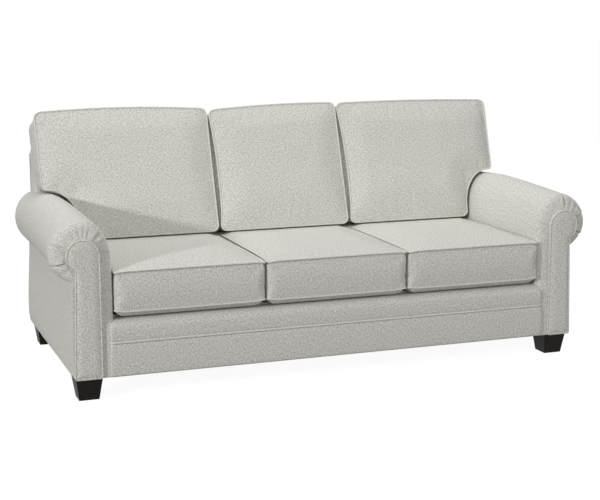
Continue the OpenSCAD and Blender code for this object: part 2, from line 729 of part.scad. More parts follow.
function outer_plan(i, j, m) =
  let (hs = outer_hs(m), x = outer_xs[i], h = hs[j], b = hs[outer_cj], c = at_height(notch_zi, m),
       d = norm([x - notch_x, h - b]), reach = b - bend_h(m), w = max(0, 1 - d / reach),
       tip = notch_point(135, m) - [notch_x, b],
       p = i == outer_ci && j <= outer_cj && h > c ? notch_point(180 - 45 * (h - c) / (b - c), m)
         : j == outer_cj && i > outer_ci && x < notch_cx
           ? notch_point(135 - 45 * (x - notch_x) / (notch_cx - notch_x), m)
         : [x, h] + tip * w * w)
  flared(bowed(rounded(p, [[in_x, hs[0], 1, 1], [notch_x, hs[0], -1, 1], [x_ear, b, -1, 1],
                           [in_x, cushion_h1, 1, -1], [x_ear, cushion_h1, -1, -1]], corner), in_x, x_ear, m), m);
crown_reach = 150;
function outer_rise(x, h, m) =
  let (b = at_height(notch_top, m))
  cushion_crown * swell(x - in_x, crown_reach) * swell(x_ear - x, crown_reach)
    * swell(cushion_h1 - h, crown_reach) * swell(h - low_h(m), crown_reach)
    * swell(norm([max(notch_x - x, 0), max(h - b, 0)]), crown_reach / 2);
face_m = cushion_t + soft_gap;
function lifted(ps, m) = [for (p = ps) lean_point(p[0], p[1], m)];
outer_nx = len(outer_xs) - 1;
outer_ny = len(outer_hs(0)) - 1;
outer_ids = loop_ids(outer_nx, outer_ny, outer_ci, outer_cj);
outer_grid = [for (i = [0:outer_nx]) [for (j = [0:outer_ny])
  let (p = outer_plan(i, j, face_m)) lean_point(p[0], p[1], face_m + outer_rise(outer_xs[i], outer_hs(face_m)[j], face_m))]];
// Rings of the boxing: place through the thickness and draw-in, as shares
back_ring_shares = [[2 / 3, 1], [1 / 3, 1], [0.07, 0]];
rear_inset = 7;
function ring_m(r) = soft_gap + r * cushion_t;
outer_rings = concat(
  [for (r = back_ring_shares) let (m = ring_m(r[0]))
    lifted(inset_loop([for (q = outer_ids) outer_plan(q[0], q[1], m)], boxing_sink * r[1]), m)],
  [lifted(inset_loop([for (q = outer_ids) outer_plan(q[0], q[1], soft_gap)], rear_inset), soft_gap)]);
centre_xs = cuts(cushion_hw, corner, [-0.55, 0, 0.55]);
function centre_hs(m) =
  let (a = low_h(m), b = cushion_h1)
  concat([for (e = edge_shares) a + e * corner], [for (t = [0.25, 0.5, 0.75]) lerp(a, b, t)],
    [for (k = [2:-1:0]) b - edge_shares[k] * corner]);
function centre_plan(i, j, m) =
  let (hs = centre_hs(m), a = hs[0], b = cushion_h1)
  bowed(rounded([centre_xs[i], hs[j]], [[-cushion_hw, a, 1, 1], [cushion_hw, a, -1, 1],
                 [-cushion_hw, b, 1, -1], [cushion_hw, b, -1, -1]], corner), -cushion_hw, cushion_hw, m);
function centre_rise(x, h, m) =
  cushion_crown * swell(cushion_hw - abs(x), crown_reach) * swell(cushion_h1 - h, crown_reach)
    * swell(h - low_h(m), crown_reach);
centre_nx = len(centre_xs) - 1;
centre_ny = len(centre_hs(0)) - 1;
centre_ids = loop_ids(centre_nx, centre_ny, centre_nx, 0);
centre_grid = [for (i = [0:centre_nx]) [for (j = [0:centre_ny])
  let (p = centre_plan(i, j, face_m))
    lean_point(p[0], p[1], face_m + centre_rise(centre_xs[i], centre_hs(face_m)[j], face_m))]];
centre_rings = concat(
  [for (r = back_ring_shares) let (m = ring_m(r[0]))
    lifted(inset_loop([for (q = centre_ids) centre_plan(q[0], q[1], m)], boxing_sink * r[1]), m)],
  [lifted(inset_loop([for (q = centre_ids) centre_plan(q[0], q[1], soft_gap)], rear_inset), soft_gap)]);
module back_core_solid(x0, x1) {
  on_back() box([x0 + core_margin, -cushion_t + core_high, low_h(0) + core_margin],
                [x1 - core_margin, -core_low, cushion_h1 - core_margin]);
}
module back_cushion(bay) {
  color(fabric)
    if (bay == 0) difference() {
      soft_form(centre_grid, centre_nx, 0, centre_rings, lean_point(0, lerp(low_h(0), cushion_h1, 0.5), soft_gap));
      back_core_solid(-cushion_hw, cushion_hw);
    }
    else side(bay) difference() {
      soft_form(outer_grid, outer_ci, outer_cj, outer_rings,
                lean_point(bay_w, lerp(at_height(notch_top, 0), cushion_h1, 0.4), soft_gap));
      back_core_solid(in_x, notch_x);
    }
}
module back_core(bay) {
  color(foam)
    if (bay == 0) back_core_solid(-cushion_hw, cushion_hw);
    else side(bay) back_core_solid(in_x, notch_x);
}
zip_lift = 0.4;
module back_zip(bay) {
  m = soft_gap + cushion_t / 2;
  p = lean_point(bay * bay_w, low_h(m), m);
  color(cloth_dark) translate([p[0], p[1], p[2]]) rotate([-seat_slope, 0, 0])
    translate([-zip_l / 2, -zip_w / 2, zip_lift]) cube([zip_l, zip_w, zip_t]);
}

front_rail();
back_rail();
rear_bottom_rail();
side_rail(-1);  // side_rail_left
side_rail(1);  // side_rail_right
seat_stretchers();
corner_blocks();
arm_post(-1);  // arm_post_left
arm_post(1);  // arm_post_right
arm_top_rail(-1);  // arm_top_rail_left
arm_top_rail(1);  // arm_top_rail_right
back_post(-1);  // back_post_left
back_post(1);  // back_post_right
back_uprights();
back_top_rail();
back_slat();
seat_springs();
spring_clips();
back_webbing();
deck_pad();
deck_cloth();
dust_cover();
foot(-1, foot_y_front);  // foot_front_left
foot(1, foot_y_front);  // foot_front_right
foot(-1, foot_y_rear);  // foot_rear_left
foot(1, foot_y_rear);  // foot_rear_right
hanger_bolts();
tee_nuts();
arm_roll(-1);  // arm_roll_left
arm_roll(1);  // arm_roll_right
inside_arm(-1);  // inside_arm_left
inside_arm(1);  // inside_arm_right
outside_arm(-1);  // outside_arm_left
outside_arm(1);  // outside_arm_right
front_panel(-1);  // front_panel_left
front_panel(1);  // front_panel_right
front_border();
front_band();
front_welt();
inside_back();
outside_back();
seat_cushion(-1);  // seat_cushion_left
seat_cushion(0);  // seat_cushion_centre
seat_cushion(1);  // seat_cushion_right
seat_core(-1);  // seat_core_left
seat_core(0);  // seat_core_centre
seat_core(1);  // seat_core_right
seat_zip(-1);  // seat_zip_left
seat_zip(0);  // seat_zip_centre
seat_zip(1);  // seat_zip_right
back_cushion(-1);  // back_cushion_left
back_cushion(0);  // back_cushion_centre
back_cushion(1);  // back_cushion_right
back_core(-1);  // back_core_left
back_core(0);  // back_core_centre
back_core(1);  // back_core_right
back_zip(-1);  // back_zip_left
back_zip(0);  // back_zip_centre
back_zip(1);  // back_zip_right
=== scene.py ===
"""Looks of the panel arm sofa: a three-seat sofa with rolled arms, keyhole front
panels, loose boxed cushions and square tapered feet.

Every length is in millimetres until a mesh is made; MM turns it into metres.
"""

import logging
import math
from dataclasses import dataclass, field
from enum import Enum
from typing import Sequence

import bmesh
import bpy
import numpy as np
from bpy.types import ID, Material, Mesh, Node, NodeSocket, NodeTree, Object
from mathutils import Matrix, Vector, noise


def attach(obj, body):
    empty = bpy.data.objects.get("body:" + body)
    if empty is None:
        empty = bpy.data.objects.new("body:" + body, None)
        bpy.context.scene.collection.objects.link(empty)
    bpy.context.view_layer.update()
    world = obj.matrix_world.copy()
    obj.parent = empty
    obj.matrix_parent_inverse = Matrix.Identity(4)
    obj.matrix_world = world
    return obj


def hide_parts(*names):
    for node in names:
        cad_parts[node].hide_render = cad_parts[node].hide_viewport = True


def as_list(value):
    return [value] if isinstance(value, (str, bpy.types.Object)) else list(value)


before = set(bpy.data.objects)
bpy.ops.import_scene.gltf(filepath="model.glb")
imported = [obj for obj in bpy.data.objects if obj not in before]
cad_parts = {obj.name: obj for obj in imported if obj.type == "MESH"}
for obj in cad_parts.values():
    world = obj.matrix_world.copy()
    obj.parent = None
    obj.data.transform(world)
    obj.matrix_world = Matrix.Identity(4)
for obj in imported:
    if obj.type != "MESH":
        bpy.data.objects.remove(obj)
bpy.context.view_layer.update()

MM = 0.001
Array = np.ndarray
Pair = tuple[float, float]
Triple = tuple[float, float, float]
LOG = logging.getLogger("sofa")
# Length of one band of Blender's wave texture at scale 1.
WAVE_BAND = 0.314
# Keeps the slope of a round end finite at its tip.
ALMOST_ONE = 0.999
WHITE = (1.0, 1.0, 1.0, 1.0)


# Sizes shared by the pieces


@dataclass(frozen=True)
class Sizes:
    """Sizes of the whole sofa in millimetres, as the solids have them."""

    seat_w: float = 1692.0
    body_d: float = 968.0
    leg_h: float = 83.0
    deck_h: float = 292.0
    arm_w: float = 146.0
    arm_h: float = 661.0
    roll_out: float = 55.0
    join_h: float = 430.0
    panel_w: float = 99.6
    panel_neck: float = 14.0
    head_r: float = 59.6
    head_h: float = 523.3
    panel_t: float = 23.0
    back_h: float = 815.0
    back_lean: float = 19.2
    back_top_t: float = 83.0
    x_wing: float = 978.0
    wing_h: float = 600.0
    welt_h: float = 207.7
    welt_d: float = 9.0
    band_x: float = 866.0
    soft_gap: float = 0.3

    @property
    def x_in(self) -> float:
        """Inside face of an arm."""
        return self.seat_w / 2

    @property
    def x_out(self) -> float:
        """Outside face of an arm."""
        return self.x_in + self.arm_w

    @property
    def y_front(self) -> float:
        """Front of the front panels."""
        return -self.body_d / 2

    @property
    def y_rear(self) -> float:
        """Outside back."""
        return self.body_d / 2

    @property
    def y_arm(self) -> float:
        """Front of an arm behind its panel."""
        return self.y_front + self.panel_t

    @property
    def head_x(self) -> float:
        """Middle of the panel's round head."""
        return self.x_out - self.panel_w + self.head_r

    @property
    def bay_w(self) -> float:
        """Width of one seat."""
        return self.seat_w / 3

    def face_y(self, z: float) -> float:
        """Place of the inside back at height z."""
        return self.y_rear - self.back_top_t - (self.back_h - z) * math.tan(math.radians(self.back_lean))

    def on_back(self, x: Array, h: Array, m: Array) -> Array:
        """Points across, up along the lean and in front of the inside back.

        Args:
            x: Places across the sofa.
            h: Heights along the lean.
            m: Distances in front of the inside back.

        Returns:
            The points, with their three coordinates last.
        """
        c, s = math.cos(math.radians(self.back_lean)), math.sin(math.radians(self.back_lean))
        return at(x, self.face_y(0) + h * s - m * c, h * c + m * s)


S = Sizes()


class Side(Enum):
    """The two ends of the sofa, with the sign of their x."""

    LEFT = -1
    RIGHT = 1

    @property
    def word(self) -> str:
        """The side's name in the names of the pieces."""
        return self.name.lower()


# Curves and grids


def at(*coordinates: Array | float) -> Array:
    """Points from their coordinates, each one number for all or one value a point."""
    return np.stack(np.broadcast_arrays(*coordinates), axis=-1)


def arc(cx: float, cy: float, rx: float, ry: float, a0: float, a1: float, n: int) -> Array:
    """Points on a part of an ellipse.

    Args:
        cx: First coordinate of the middle.
        cy: Second coordinate of the middle.
        rx: Radius along the first axis.
        ry: Radius along the second axis.
        a0: First angle in degrees.
        a1: Last angle in degrees.
        n: Number of steps.

    Returns:
        The n + 1 points as rows.
    """
    t = np.radians(np.linspace(a0, a1, n + 1))
    return at(cx + rx * np.cos(t), cy + ry * np.sin(t))


def resampled(line: Array, n: int) -> Array:
    """A line of n even steps along another line.

    Args:
        line: The points of the line as rows.
        n: Number of steps.

    Returns:
        The n + 1 points as rows.
    """
    steps = np.linalg.norm(np.diff(line, axis=0), axis=1)
    run = np.concatenate([[0.0], np.cumsum(steps)])
    want = np.linspace(0.0, run[-1], n + 1)
    return np.stack([np.interp(want, run, line[:, k]) for k in range(line.shape[1])], axis=-1)


def looped(line: Array, n: int) -> Array:
    """The n points of even steps once round a loop, which is given without its first point again."""
    return resampled(np.concatenate([line, line[:1]]), n)[:-1]


def rounded_ends(half: float, end_r: float, steps: int, tip_steps: int) -> tuple[Array, Array]:
    """Places across a long piece with round ends.

    Args:
        half: Half the length of the piece.
        end_r: Radius of its ends.
        steps: Number of places from its middle to an end's start.
        tip_steps: Number of places round an end.

    Returns:
        The places, and the fullness from 1 to almost 0 at each.
    """
    inner = np.linspace(0.0, half - end_r, steps)
    tip = half - end_r + end_r * np.sin(np.radians(np.linspace(0.0, 90.0, tip_steps)))[1:]
    xs = np.concatenate([-tip[::-1], -inner[:0:-1], inner, tip])
    over = np.clip((np.abs(xs) - (half - end_r)) / end_r, 0.0, 1.0)
    return xs, np.sqrt(1.0 - over**2 * ALMOST_ONE)


def swell(distance: Array, reach: float, power: float = 2.5) -> Array:
    """Rise of a stuffed cloth from 0 at its edge to 1 at reach."""
    return 1.0 - (1.0 - np.clip(distance / reach, 0.0, 1.0)) ** power


def smooth_step(t: Array) -> Array:
    """Smooth change from 0 to 1 as t goes from 0 to 1."""
    t = np.clip(t, 0.0, 1.0)
    return t * t * (3.0 - 2.0 * t)


def step_at(t: float, start: float, end: float) -> float:
    """Smooth change from 0 to 1 as t goes from start to end."""
    return float(smooth_step(np.array((t - start) / (end - start))))


def dents(points: Array, size: float, seed: float) -> Array:
    """Soft random unevenness between about -1 and 1.

    Args:
        points: Points with three coordinates last, in millimetres.
        size: Distance between two dents in millimetres.
        seed: Offset that makes one pattern unlike another.

    Returns:
        One value a point.
    """
    flat = points.reshape(-1, 3) / size + seed
    values = [noise.noise(Vector(p)) for p in flat]
    return np.array(values).reshape(points.shape[:-1])


def finer_dents(points: Array, sizes: Pair, seeds: Pair, share: float) -> Array:
    """Wide dents with finer ones on them.

    Args:
        points: Points with three coordinates last, in millimetres.
        sizes: Distance between two wide and between two fine dents.
        seeds: Offset of each pattern.
        share: Height of the fine dents against the wide ones.

    Returns:
        One value a point.
    """
    wide, fine = (dents(points, size, seed) for size, seed in zip(sizes, seeds))
    return wide + share * fine


def notched_loop(cells: tuple[int, int], notch: tuple[int, int]) -> list[tuple[int, int]]:
    """Places of a grid's outer loop, where a corner of the grid may be missing.

    Args:
        cells: Number of cells across and up.
        notch: Column past which the rows below notch[1] are missing.

    Returns:
        The places (column, row) once round, from the lower left corner to the right.
    """
    nx, ny = cells
    ci, cj = notch
    return (
        [(i, 0) for i in range(ci + 1)]
        + [(ci, j) for j in range(1, cj + 1)]
        + [(i, cj) for i in range(ci + 1, nx + 1)]
        + [(nx, j) for j in range(cj + 1, ny + 1)]
        + [(i, ny) for i in range(nx - 1, -1, -1)]
        + [(0, j) for j in range(ny - 1, 0, -1)]
    )


def relaxed(values: Array, free: Array, source: float = 0.0) -> Array:
    """Values inside a loop, spread evenly from those on the loop.

    Args:
        values: Grid (columns, rows, k) that holds the loop's values.
        free: True at the places inside the loop.
        source: Push added at each place, which makes the values bulge.

    Returns:
        The same grid with its free places filled in.
    """
    out = values.copy()
    big = max(free.shape)
    speed = 2.0 / (1.0 + math.sin(math.pi / big))
    checker = np.indices(free.shape).sum(axis=0) % 2
    for _ in range(6 * big):
        for colour in (0, 1):
            around = np.zeros_like(out)
            total = out[:-2, 1:-1] + out[2:, 1:-1] + out[1:-1, :-2] + out[1:-1, 2:]
            around[1:-1, 1:-1] = (total + source) / 4
            pick = free & (checker == colour)
            out[pick] += speed * (around[pick] - out[pick])
    return out


# Meshes


def linked(name: str, data: ID) -> Object:
    """A new object in the scene."""
    made = bpy.data.objects.new(name, data)
    bpy.context.scene.collection.objects.link(made)
    return made


class Cover:
    """A cloth cover or solid piece, put together from grids of points in millimetres."""

    def __init__(self, name: str) -> None:
        """Starts an empty piece.

        Args:
            name: Name of the piece in the scene.
        """
        self.name = name
        self._points: list[Array] = []
        self._faces: list[Array] = []
        self._uvs: list[Array] = []
        self._count = 0

    def points(self, places: Array) -> Array:
        """Adds points and returns their numbers in the same layout."""
        flat = np.asarray(places, float).reshape(-1, 3)
        ids = np.arange(self._count, self._count + len(flat)).reshape(np.asarray(places).shape[:-1])
        self._points.append(flat)
        self._count += len(flat)
        return ids

    def quads(self, ids: Array, uv: Array, keep: Array | None = None) -> None:
        """Joins a grid of point numbers into quads.

        Args:
            ids: Point numbers (rows, columns).
            uv: Place of each on the flat cloth, in millimetres, two numbers last.
            keep: Which cells are made; all of them where it is left out.
        """
        faces, places = (
            np.stack([a[:-1, :-1], a[1:, :-1], a[1:, 1:], a[:-1, 1:]], axis=2) for a in (ids, uv)
        )
        if keep is not None:
            faces, places = faces[keep], places[keep]
        self._faces.append(faces.reshape(-1, 4))
        self._uvs.append(places.reshape(-1, 2))

    def grid(self, places: Array) -> Array:
        """Adds a grid of points (rows, columns, 3) with its quads and returns their numbers."""
        ids = self.points(places)
        self.quads(ids, cloth_uv(places))
        return ids

    def tube(self, rings: Array, middles: Sequence[Array] = ()) -> Array:
        """Adds a tube of rings (rings, points round, 3).

        Args:
            rings: The rings, each without its first point again.
            middles: Middle of the cap at the first and at the last ring, where it is capped.

        Returns:
            The numbers of the points.
        """
        ids = self.points(rings)
        self.quads(closed(ids), cloth_uv(closed(rings)))
        for row, middle in zip((0, -1), middles):
            self.fan(ids[row], middle)
        return ids

    def skin(self, front: Array, back: Array) -> None:
        """Adds a bent sheet with a thickness, closed all round.

        Args:
            front: Grid of its outer face.
            back: Grid of its inner face, of the same size.
        """
        ring = np.concatenate([front, back[:, ::-1]], axis=1)
        ids = self.tube(ring)
        n = front.shape[1]
        for row in (0, -1):
            pair, spots = (np.stack([a[row, :n], a[row, n:][::-1]]) for a in (ids, ring[..., :2]))
            self.quads(pair, spots)

    def slab(self, upper: Array, lower: Array) -> None:
        """Adds two grids of the same size, joined round their edge."""
        grids = (upper, lower)
        numbers = [self.grid(grid) for grid in grids]
        cells = (upper.shape[0] - 1, upper.shape[1] - 1)
        loop = notched_loop(cells, (cells[0], 0))
        sides, spots = (np.stack([[grid[q] for q in loop] for grid in pair]) for pair in (numbers, grids))
        self.quads(closed(sides), cloth_uv(closed(spots)))

    def fan(self, ring: Array, middle: Array) -> None:
        """Closes a ring of point numbers with a soft cap.

        Args:
            ring: Point numbers once round, without the first one again.
            middle: The middle point of the cap.
        """
        rim = np.concatenate(self._points)[ring]
        ids, rows = [ring], [rim]
        for share in (0.34, 0.67, 0.97):
            rows.append(rim + (middle - rim) * share)
            ids.append(self.points(rows[-1]))
        across = np.delete(np.arange(3), np.argmin(np.ptp(rim, axis=0)))
        self.quads(closed(np.stack(ids)), closed(np.stack(rows))[..., across])

    def made(self, finish: "Finish", sharp: float = 50.0) -> Object:
        """Makes the object.

        Args:
            finish: What it is made of.
            sharp: Angle in degrees over which an edge is a crease.

        Returns:
            The new object, linked to the scene.
        """
        mesh = bpy.data.meshes.new(self.name)
        faces = np.concatenate(self._faces)
        corners = faces != np.roll(faces, 1, axis=1)
        polygons = [face[own].tolist() for face, own in zip(faces, corners)]
        mesh.from_pydata((np.concatenate(self._points) * MM).tolist(), [], polygons)
        layer = mesh.uv_layers.new(name="cloth")
        spots = np.concatenate(self._uvs).reshape(-1, 4, 2)[corners] * MM
        layer.uv.foreach_set("vector", spots.ravel())
        shaped = bmesh.new()
        shaped.from_mesh(mesh)
        bmesh.ops.remove_doubles(shaped, verts=shaped.verts, dist=0.00001)
        bmesh.ops.recalc_face_normals(shaped, faces=shaped.faces)
        shaped.to_mesh(mesh)
        shaped.free()
        mesh.shade_smooth()
        mesh.set_sharp_from_angle(angle=math.radians(sharp))
        mesh.materials.append(finish.material())
        return linked(self.name, mesh)


def cloth_uv(places: Array) -> Array:
    """Place of each point of a grid on the flat cloth, measured along its rows and columns."""
    down = np.linalg.norm(np.diff(places, axis=0), axis=2).mean(axis=1)
    along = np.linalg.norm(np.diff(places, axis=1), axis=2).mean(axis=0)
    u = np.concatenate([[0.0], np.cumsum(down)])
    v = np.concatenate([[0.0], np.cumsum(along)])
    return np.stack(np.meshgrid(u, v, indexing="ij"), axis=-1) + places[0, 0, :2]


def closed(grid: Array) -> Array:
    """The grid with its first column again after its last."""
    return np.concatenate([grid, grid[:, :1]], axis=1)


def cord(
    name: str, path: Array, radius: float, finish: "Finish", ends: bool = False,
    body: str = "sofa_body", nodes: tuple[str, ...] = (),
) -> Object:
    """A cloth-covered welt cord along a path.

    Args:
        name: Name of the piece.
        path: Points in millimetres as rows, without the first again where it is a loop.
        radius: Radius of the cord.
        finish: What it is covered with.
        ends: True for a cord with two ends, False for a loop.
        body: The body that it rides on.
        nodes: The solids that it stands for.

    Returns:
        The cord as an object.
    """
    sides = 10
    ahead = np.roll(path, -1, axis=0) - np.roll(path, 1, axis=0)
    if ends:
        ahead[0], ahead[-1] = path[1] - path[0], path[-1] - path[-2]
    ahead /= np.linalg.norm(ahead, axis=1)[:, None]
    first = np.cross(ahead, (0.0, 0.0, 1.0) if abs(ahead[0][2]) < 0.9 else (1.0, 0.0, 0.0))
    flat = np.linalg.norm(first, axis=1) < 0.2
    first[flat] = np.cross(ahead[flat], (0.0, 1.0, 0.0))
    first /= np.linalg.norm(first, axis=1)[:, None]
    for k in range(1, len(path)):
        side = first[k - 1] - ahead[k] * (first[k - 1] @ ahead[k])
        first[k] = side / np.linalg.norm(side)
    second = np.cross(ahead, first)
    turn = np.linspace(0.0, 2 * math.pi, sides, endpoint=False)
    ring = (
        path[:, None]
        + radius * np.cos(turn)[None, :, None] * first[:, None]
        + radius * np.sin(turn)[None, :, None] * second[:, None]
    )
    cover = Cover(name)
    if ends:
        cover.tube(ring, (path[0] - ahead[0] * radius * 0.4, path[-1] + ahead[-1] * radius * 0.4))
    else:
        ids = cover.tube(ring)
        turned = np.linalg.norm(ring[0][:, None] - ring[-1][None], axis=2)
        apart = [sum(turned[(k + s) % sides, k] for k in range(sides)) for s in range(sides)]
        last = np.stack([ids[-1], np.roll(ids[0], -int(np.argmin(apart)))])
        uv = cloth_uv(closed(ring))[-1]
        cover.quads(closed(last), np.stack([uv, uv + (radius, 0.0)]))
    welt = cover.made(finish)
    return Piece(name, body, nodes, "welt_fabric", None).placed(welt)


# Finishes


def linear(hex_colour: str) -> tuple[float, float, float, float]:
    """An sRGB colour such as "#cbc9c4" as linear red, green, blue and alpha."""
    parts = [int(hex_colour[k : k + 2], 16) / 255 for k in (1, 3, 5)]
    low = [p / 12.92 if p <= 0.04045 else ((p + 0.055) / 1.055) ** 2.4 for p in parts]
    return (low[0], low[1], low[2], 1.0)


def put_node(
    tree: NodeTree,
    kind: str,
    settings: dict[str, object] | None = None,
    inputs: dict[str | int, object] | None = None,
) -> Node:
    """Adds a node to a tree with its settings, values and links.

    Args:
        tree: The material's or world's node tree.
        kind: Type of the node.
        settings: Properties of the node.
        inputs: Value of each input, or the output that it is linked from.

    Returns:
        The new node.
    """
    node = tree.nodes.new(kind)
    for name, value in (settings or {}).items():
        setattr(node, name, value)
    for name, value in (inputs or {}).items():
        if isinstance(value, NodeSocket):
            tree.links.new(value, node.inputs[name])
        else:
            node.inputs[name].default_value = value
    return node


def summed(
    tree: NodeTree, parts: Sequence[NodeSocket], share: float = 1.0, clamp: bool = False
) -> NodeSocket:
    """Adds patterns to one.

    Args:
        tree: The node tree.
        parts: The patterns' outputs.
        share: What their sum is multiplied by.
        clamp: True where the result is kept between 0 and 1.

    Returns:
        The output with the result.
    """
    total = parts[0]
    for part in parts[1:]:
        added = put_node(tree, "ShaderNodeMath", {"operation": "ADD"}, {0: total, 1: part})
        total = added.outputs["Value"]
    settings = {"operation": "MULTIPLY", "use_clamp": clamp}
    return put_node(tree, "ShaderNodeMath", settings, {0: total, 1: share}).outputs["Value"]


def is_seen(tree: NodeTree) -> NodeSocket:
    """1 for what the camera, a reflection or a clear material sees, and 0 for light."""
    rays = put_node(tree, "ShaderNodeLightPath").outputs
    seen = [rays[f"Is {word} Ray"] for word in ("Camera", "Glossy", "Transmission")]
    return summed(tree, seen, clamp=True)


def on_object(tree: NodeTree) -> NodeSocket:
    """Place on the object, in metres."""
    return put_node(tree, "ShaderNodeTexCoord").outputs["Object"]


def grains(
    tree: NodeTree, place: NodeSocket, sizes: Sequence[float], detail: float,
    settings: dict[str, object] | None = None, **inputs: float,
) -> NodeSocket:
    """Random grains of a real size.

    Args:
        tree: The node tree.
        place: Where the surface is.
        sizes: Size of a grain along each axis, in millimetres.
        detail: How much finer detail it has.
        settings: The noise's properties.
        inputs: Its other values.

    Returns:
        The pattern's output.
    """
    scale = [1 / (size * MM) for size in sizes]
    scaled = put_node(tree, "ShaderNodeMapping", inputs={"Vector": place, "Scale": scale})
    inputs = {"Vector": scaled.outputs["Vector"], "Scale": 1.0, "Detail": detail, **inputs}
    return put_node(tree, "ShaderNodeTexNoise", settings, inputs).outputs["Fac"]


def threads(
    tree: NodeTree, place: NodeSocket, axes: str, apart: float, **inputs: float
) -> list[NodeSocket]:
    """Rows of threads.

    Args:
        tree: The node tree.
        place: Where the surface is.
        axes: The axes that rows run across, such as "XY".
        apart: Distance between two threads in millimetres.
        inputs: Other values of the wave texture.

    Returns:
        One pattern's output for each axis.
    """
    inputs = {"Vector": place, "Scale": WAVE_BAND / (apart * MM), **inputs}
    rows = []
    for axis in axes:
        settings = {"bands_direction": axis, "wave_profile": "SIN"}
        rows.append(put_node(tree, "ShaderNodeTexWave", settings, inputs).outputs["Fac"])
    return rows


@dataclass(frozen=True)
class Finish:
    """What a surface is made of. Each kind gives its own colours, relief and gloss."""

    name: str
    dark: str = ""
    light: str = ""

    def material(self) -> Material:
        """The finish's material, made once and used again."""
        found = bpy.data.materials.get(self.name)
        if found is not None:
            return found
        made = bpy.data.materials.new(self.name)
        made.use_nodes = True
        tree = made.node_tree
        tree.nodes.clear()
        put_node(tree, "ShaderNodeOutputMaterial", inputs={"Surface": self.surface(tree)})
        return made

    def surface(self, tree: NodeTree) -> NodeSocket:
        """The surface's shader."""
        return put_node(tree, "ShaderNodeBsdfPrincipled", inputs=self.sockets(tree)).outputs["BSDF"]

    def sockets(self, tree: NodeTree) -> dict[str, object]:
        """Value or pattern of each of the shader's sockets."""
        raise NotImplementedError

    def coloured(
        self, tree: NodeTree, pattern: NodeSocket, low: float, high: float, middle: str = ""
    ) -> NodeSocket:
        """Colours a pattern from dark to light.

        Args:
            tree: The node tree.
            pattern: The pattern's output.
            low: Value that is dark.
            high: Value that is light.
            middle: Colour half-way, where there is one.

        Returns:
            The colour's output.
        """
        node = put_node(tree, "ShaderNodeValToRGB", inputs={"Fac": pattern})
        stops = [(low, self.dark), (high, self.light)]
        if middle:
            stops.insert(1, ((low + high) / 2, middle))
            node.color_ramp.elements.new(0.5)
        for element, (place, colour) in zip(node.color_ramp.elements, stops):
            element.position, element.color = place, linear(colour)
        return node.outputs["Color"]

    def relief(
        self, tree: NodeTree, height: NodeSocket, strength: float, deep: float
    ) -> NodeSocket:
        """The pattern as a bump of a strength and a depth in millimetres."""
        inputs = {"Height": height, "Strength": strength, "Distance": deep * MM}
        return put_node(tree, "ShaderNodeBump", inputs=inputs).outputs["Normal"]


@dataclass(frozen=True)
class HeatheredWeave(Finish):
    """Polyester chenille-look cloth, plain woven from mixed light and dark yarns.

    The eye sees a matt greige with fine pepper and salt specks that run a little way
    along the threads, and a faint ribbed shadow of the weave.
    """

    dark: str = "#a6a49c"
    middle: str = "#cfcdc6"
    light: str = "#e6e4de"
    # The real threads are about 1.1 mm apart, too fine for the render, so the
    # specks are drawn 3.5 mm wide and up to 8 mm long, and the ribs 3.2 mm apart.
    speck_mm: float = 3.5
    slub_mm: float = 8.0
    rib_mm: float = 3.2
    rib_height: float = 0.25
    # Height of the specks against that of the ribs.
    grain_share: float = 0.7

    def sockets(self, tree: NodeTree) -> dict[str, object]:
        """Specks along both thread directions, ribs as bump, and a soft sheen."""
        uv = put_node(tree, "ShaderNodeUVMap", {"uv_map": "cloth"}).outputs["UV"]
        wide, long = self.speck_mm, self.slub_mm
        warp, weft, grain = (
            grains(tree, uv, (across, along, 1000.0), detail, {"noise_dimensions": "2D"}, Roughness=0.6)
            for across, along, detail in ((wide, long, 2.0), (long, wide, 2.0), (wide, wide, 1.0))
        )
        specks = summed(tree, (warp, weft, grain), 1 / 3)
        ribs = threads(tree, uv, "XY", self.rib_mm, Distortion=0.6, Detail=1.0)
        crossed = put_node(tree, "ShaderNodeMath", {"operation": "MULTIPLY"}, dict(enumerate(ribs)))
        rough = {0: grain, 1: self.grain_share, 2: crossed.outputs["Value"]}
        height = put_node(tree, "ShaderNodeMath", {"operation": "MULTIPLY_ADD"}, rough)
        return {
            "Base Color": self.coloured(tree, specks, 0.38, 0.62, self.middle),
            "Normal": self.relief(tree, height.outputs["Value"], 0.35, self.rib_height),
            "Roughness": 0.92,
            "Specular IOR Level": 0.25,
            "Sheen Weight": 0.08,
            "Sheen Roughness": 0.5,
        }


@dataclass(frozen=True)
class StainedWood(Finish):
    """Solid hardwood, stained dark and sealed with a satin lacquer.

    The eye sees near-black brown with a fine straight grain and a soft highlight.
    """

    dark: str = "#0d0a08"
    light: str = "#1c1511"
    grain_mm: Triple = (5.0, 5.0, 90.0)

    def sockets(self, tree: NodeTree) -> dict[str, object]:
        """Straight grain that runs up the piece, as colour and as a slight bump."""
        grain = grains(tree, on_object(tree), self.grain_mm, 5.0)
        return {
            "Base Color": self.coloured(tree, grain, 0.35, 0.65),
            "Normal": self.relief(tree, grain, 0.2, 0.2),
            "Roughness": 0.5,
            "Specular IOR Level": 0.12,
        }


@dataclass(frozen=True)
class PlanedWood(Finish):
    """Raw planed beech or sanded birch plywood of the hidden frame.

    The eye sees pale tan wood with short darker flecks, matt and unsealed.
    """

    dark: str = "#bf9c6c"
    light: str = "#dcc29a"
    grain_mm: Triple = (83.333, 6.25, 6.25)

    def sockets(self, tree: NodeTree) -> dict[str, object]:
        """Long grain with flecks, as colour and bump."""
        grain = grains(tree, on_object(tree), self.grain_mm, 6.0, Distortion=0.4)
        return {
            "Base Color": self.coloured(tree, grain, 0.3, 0.6),
            "Normal": self.relief(tree, grain, 0.3, 0.3),
            "Roughness": 0.65,
        }


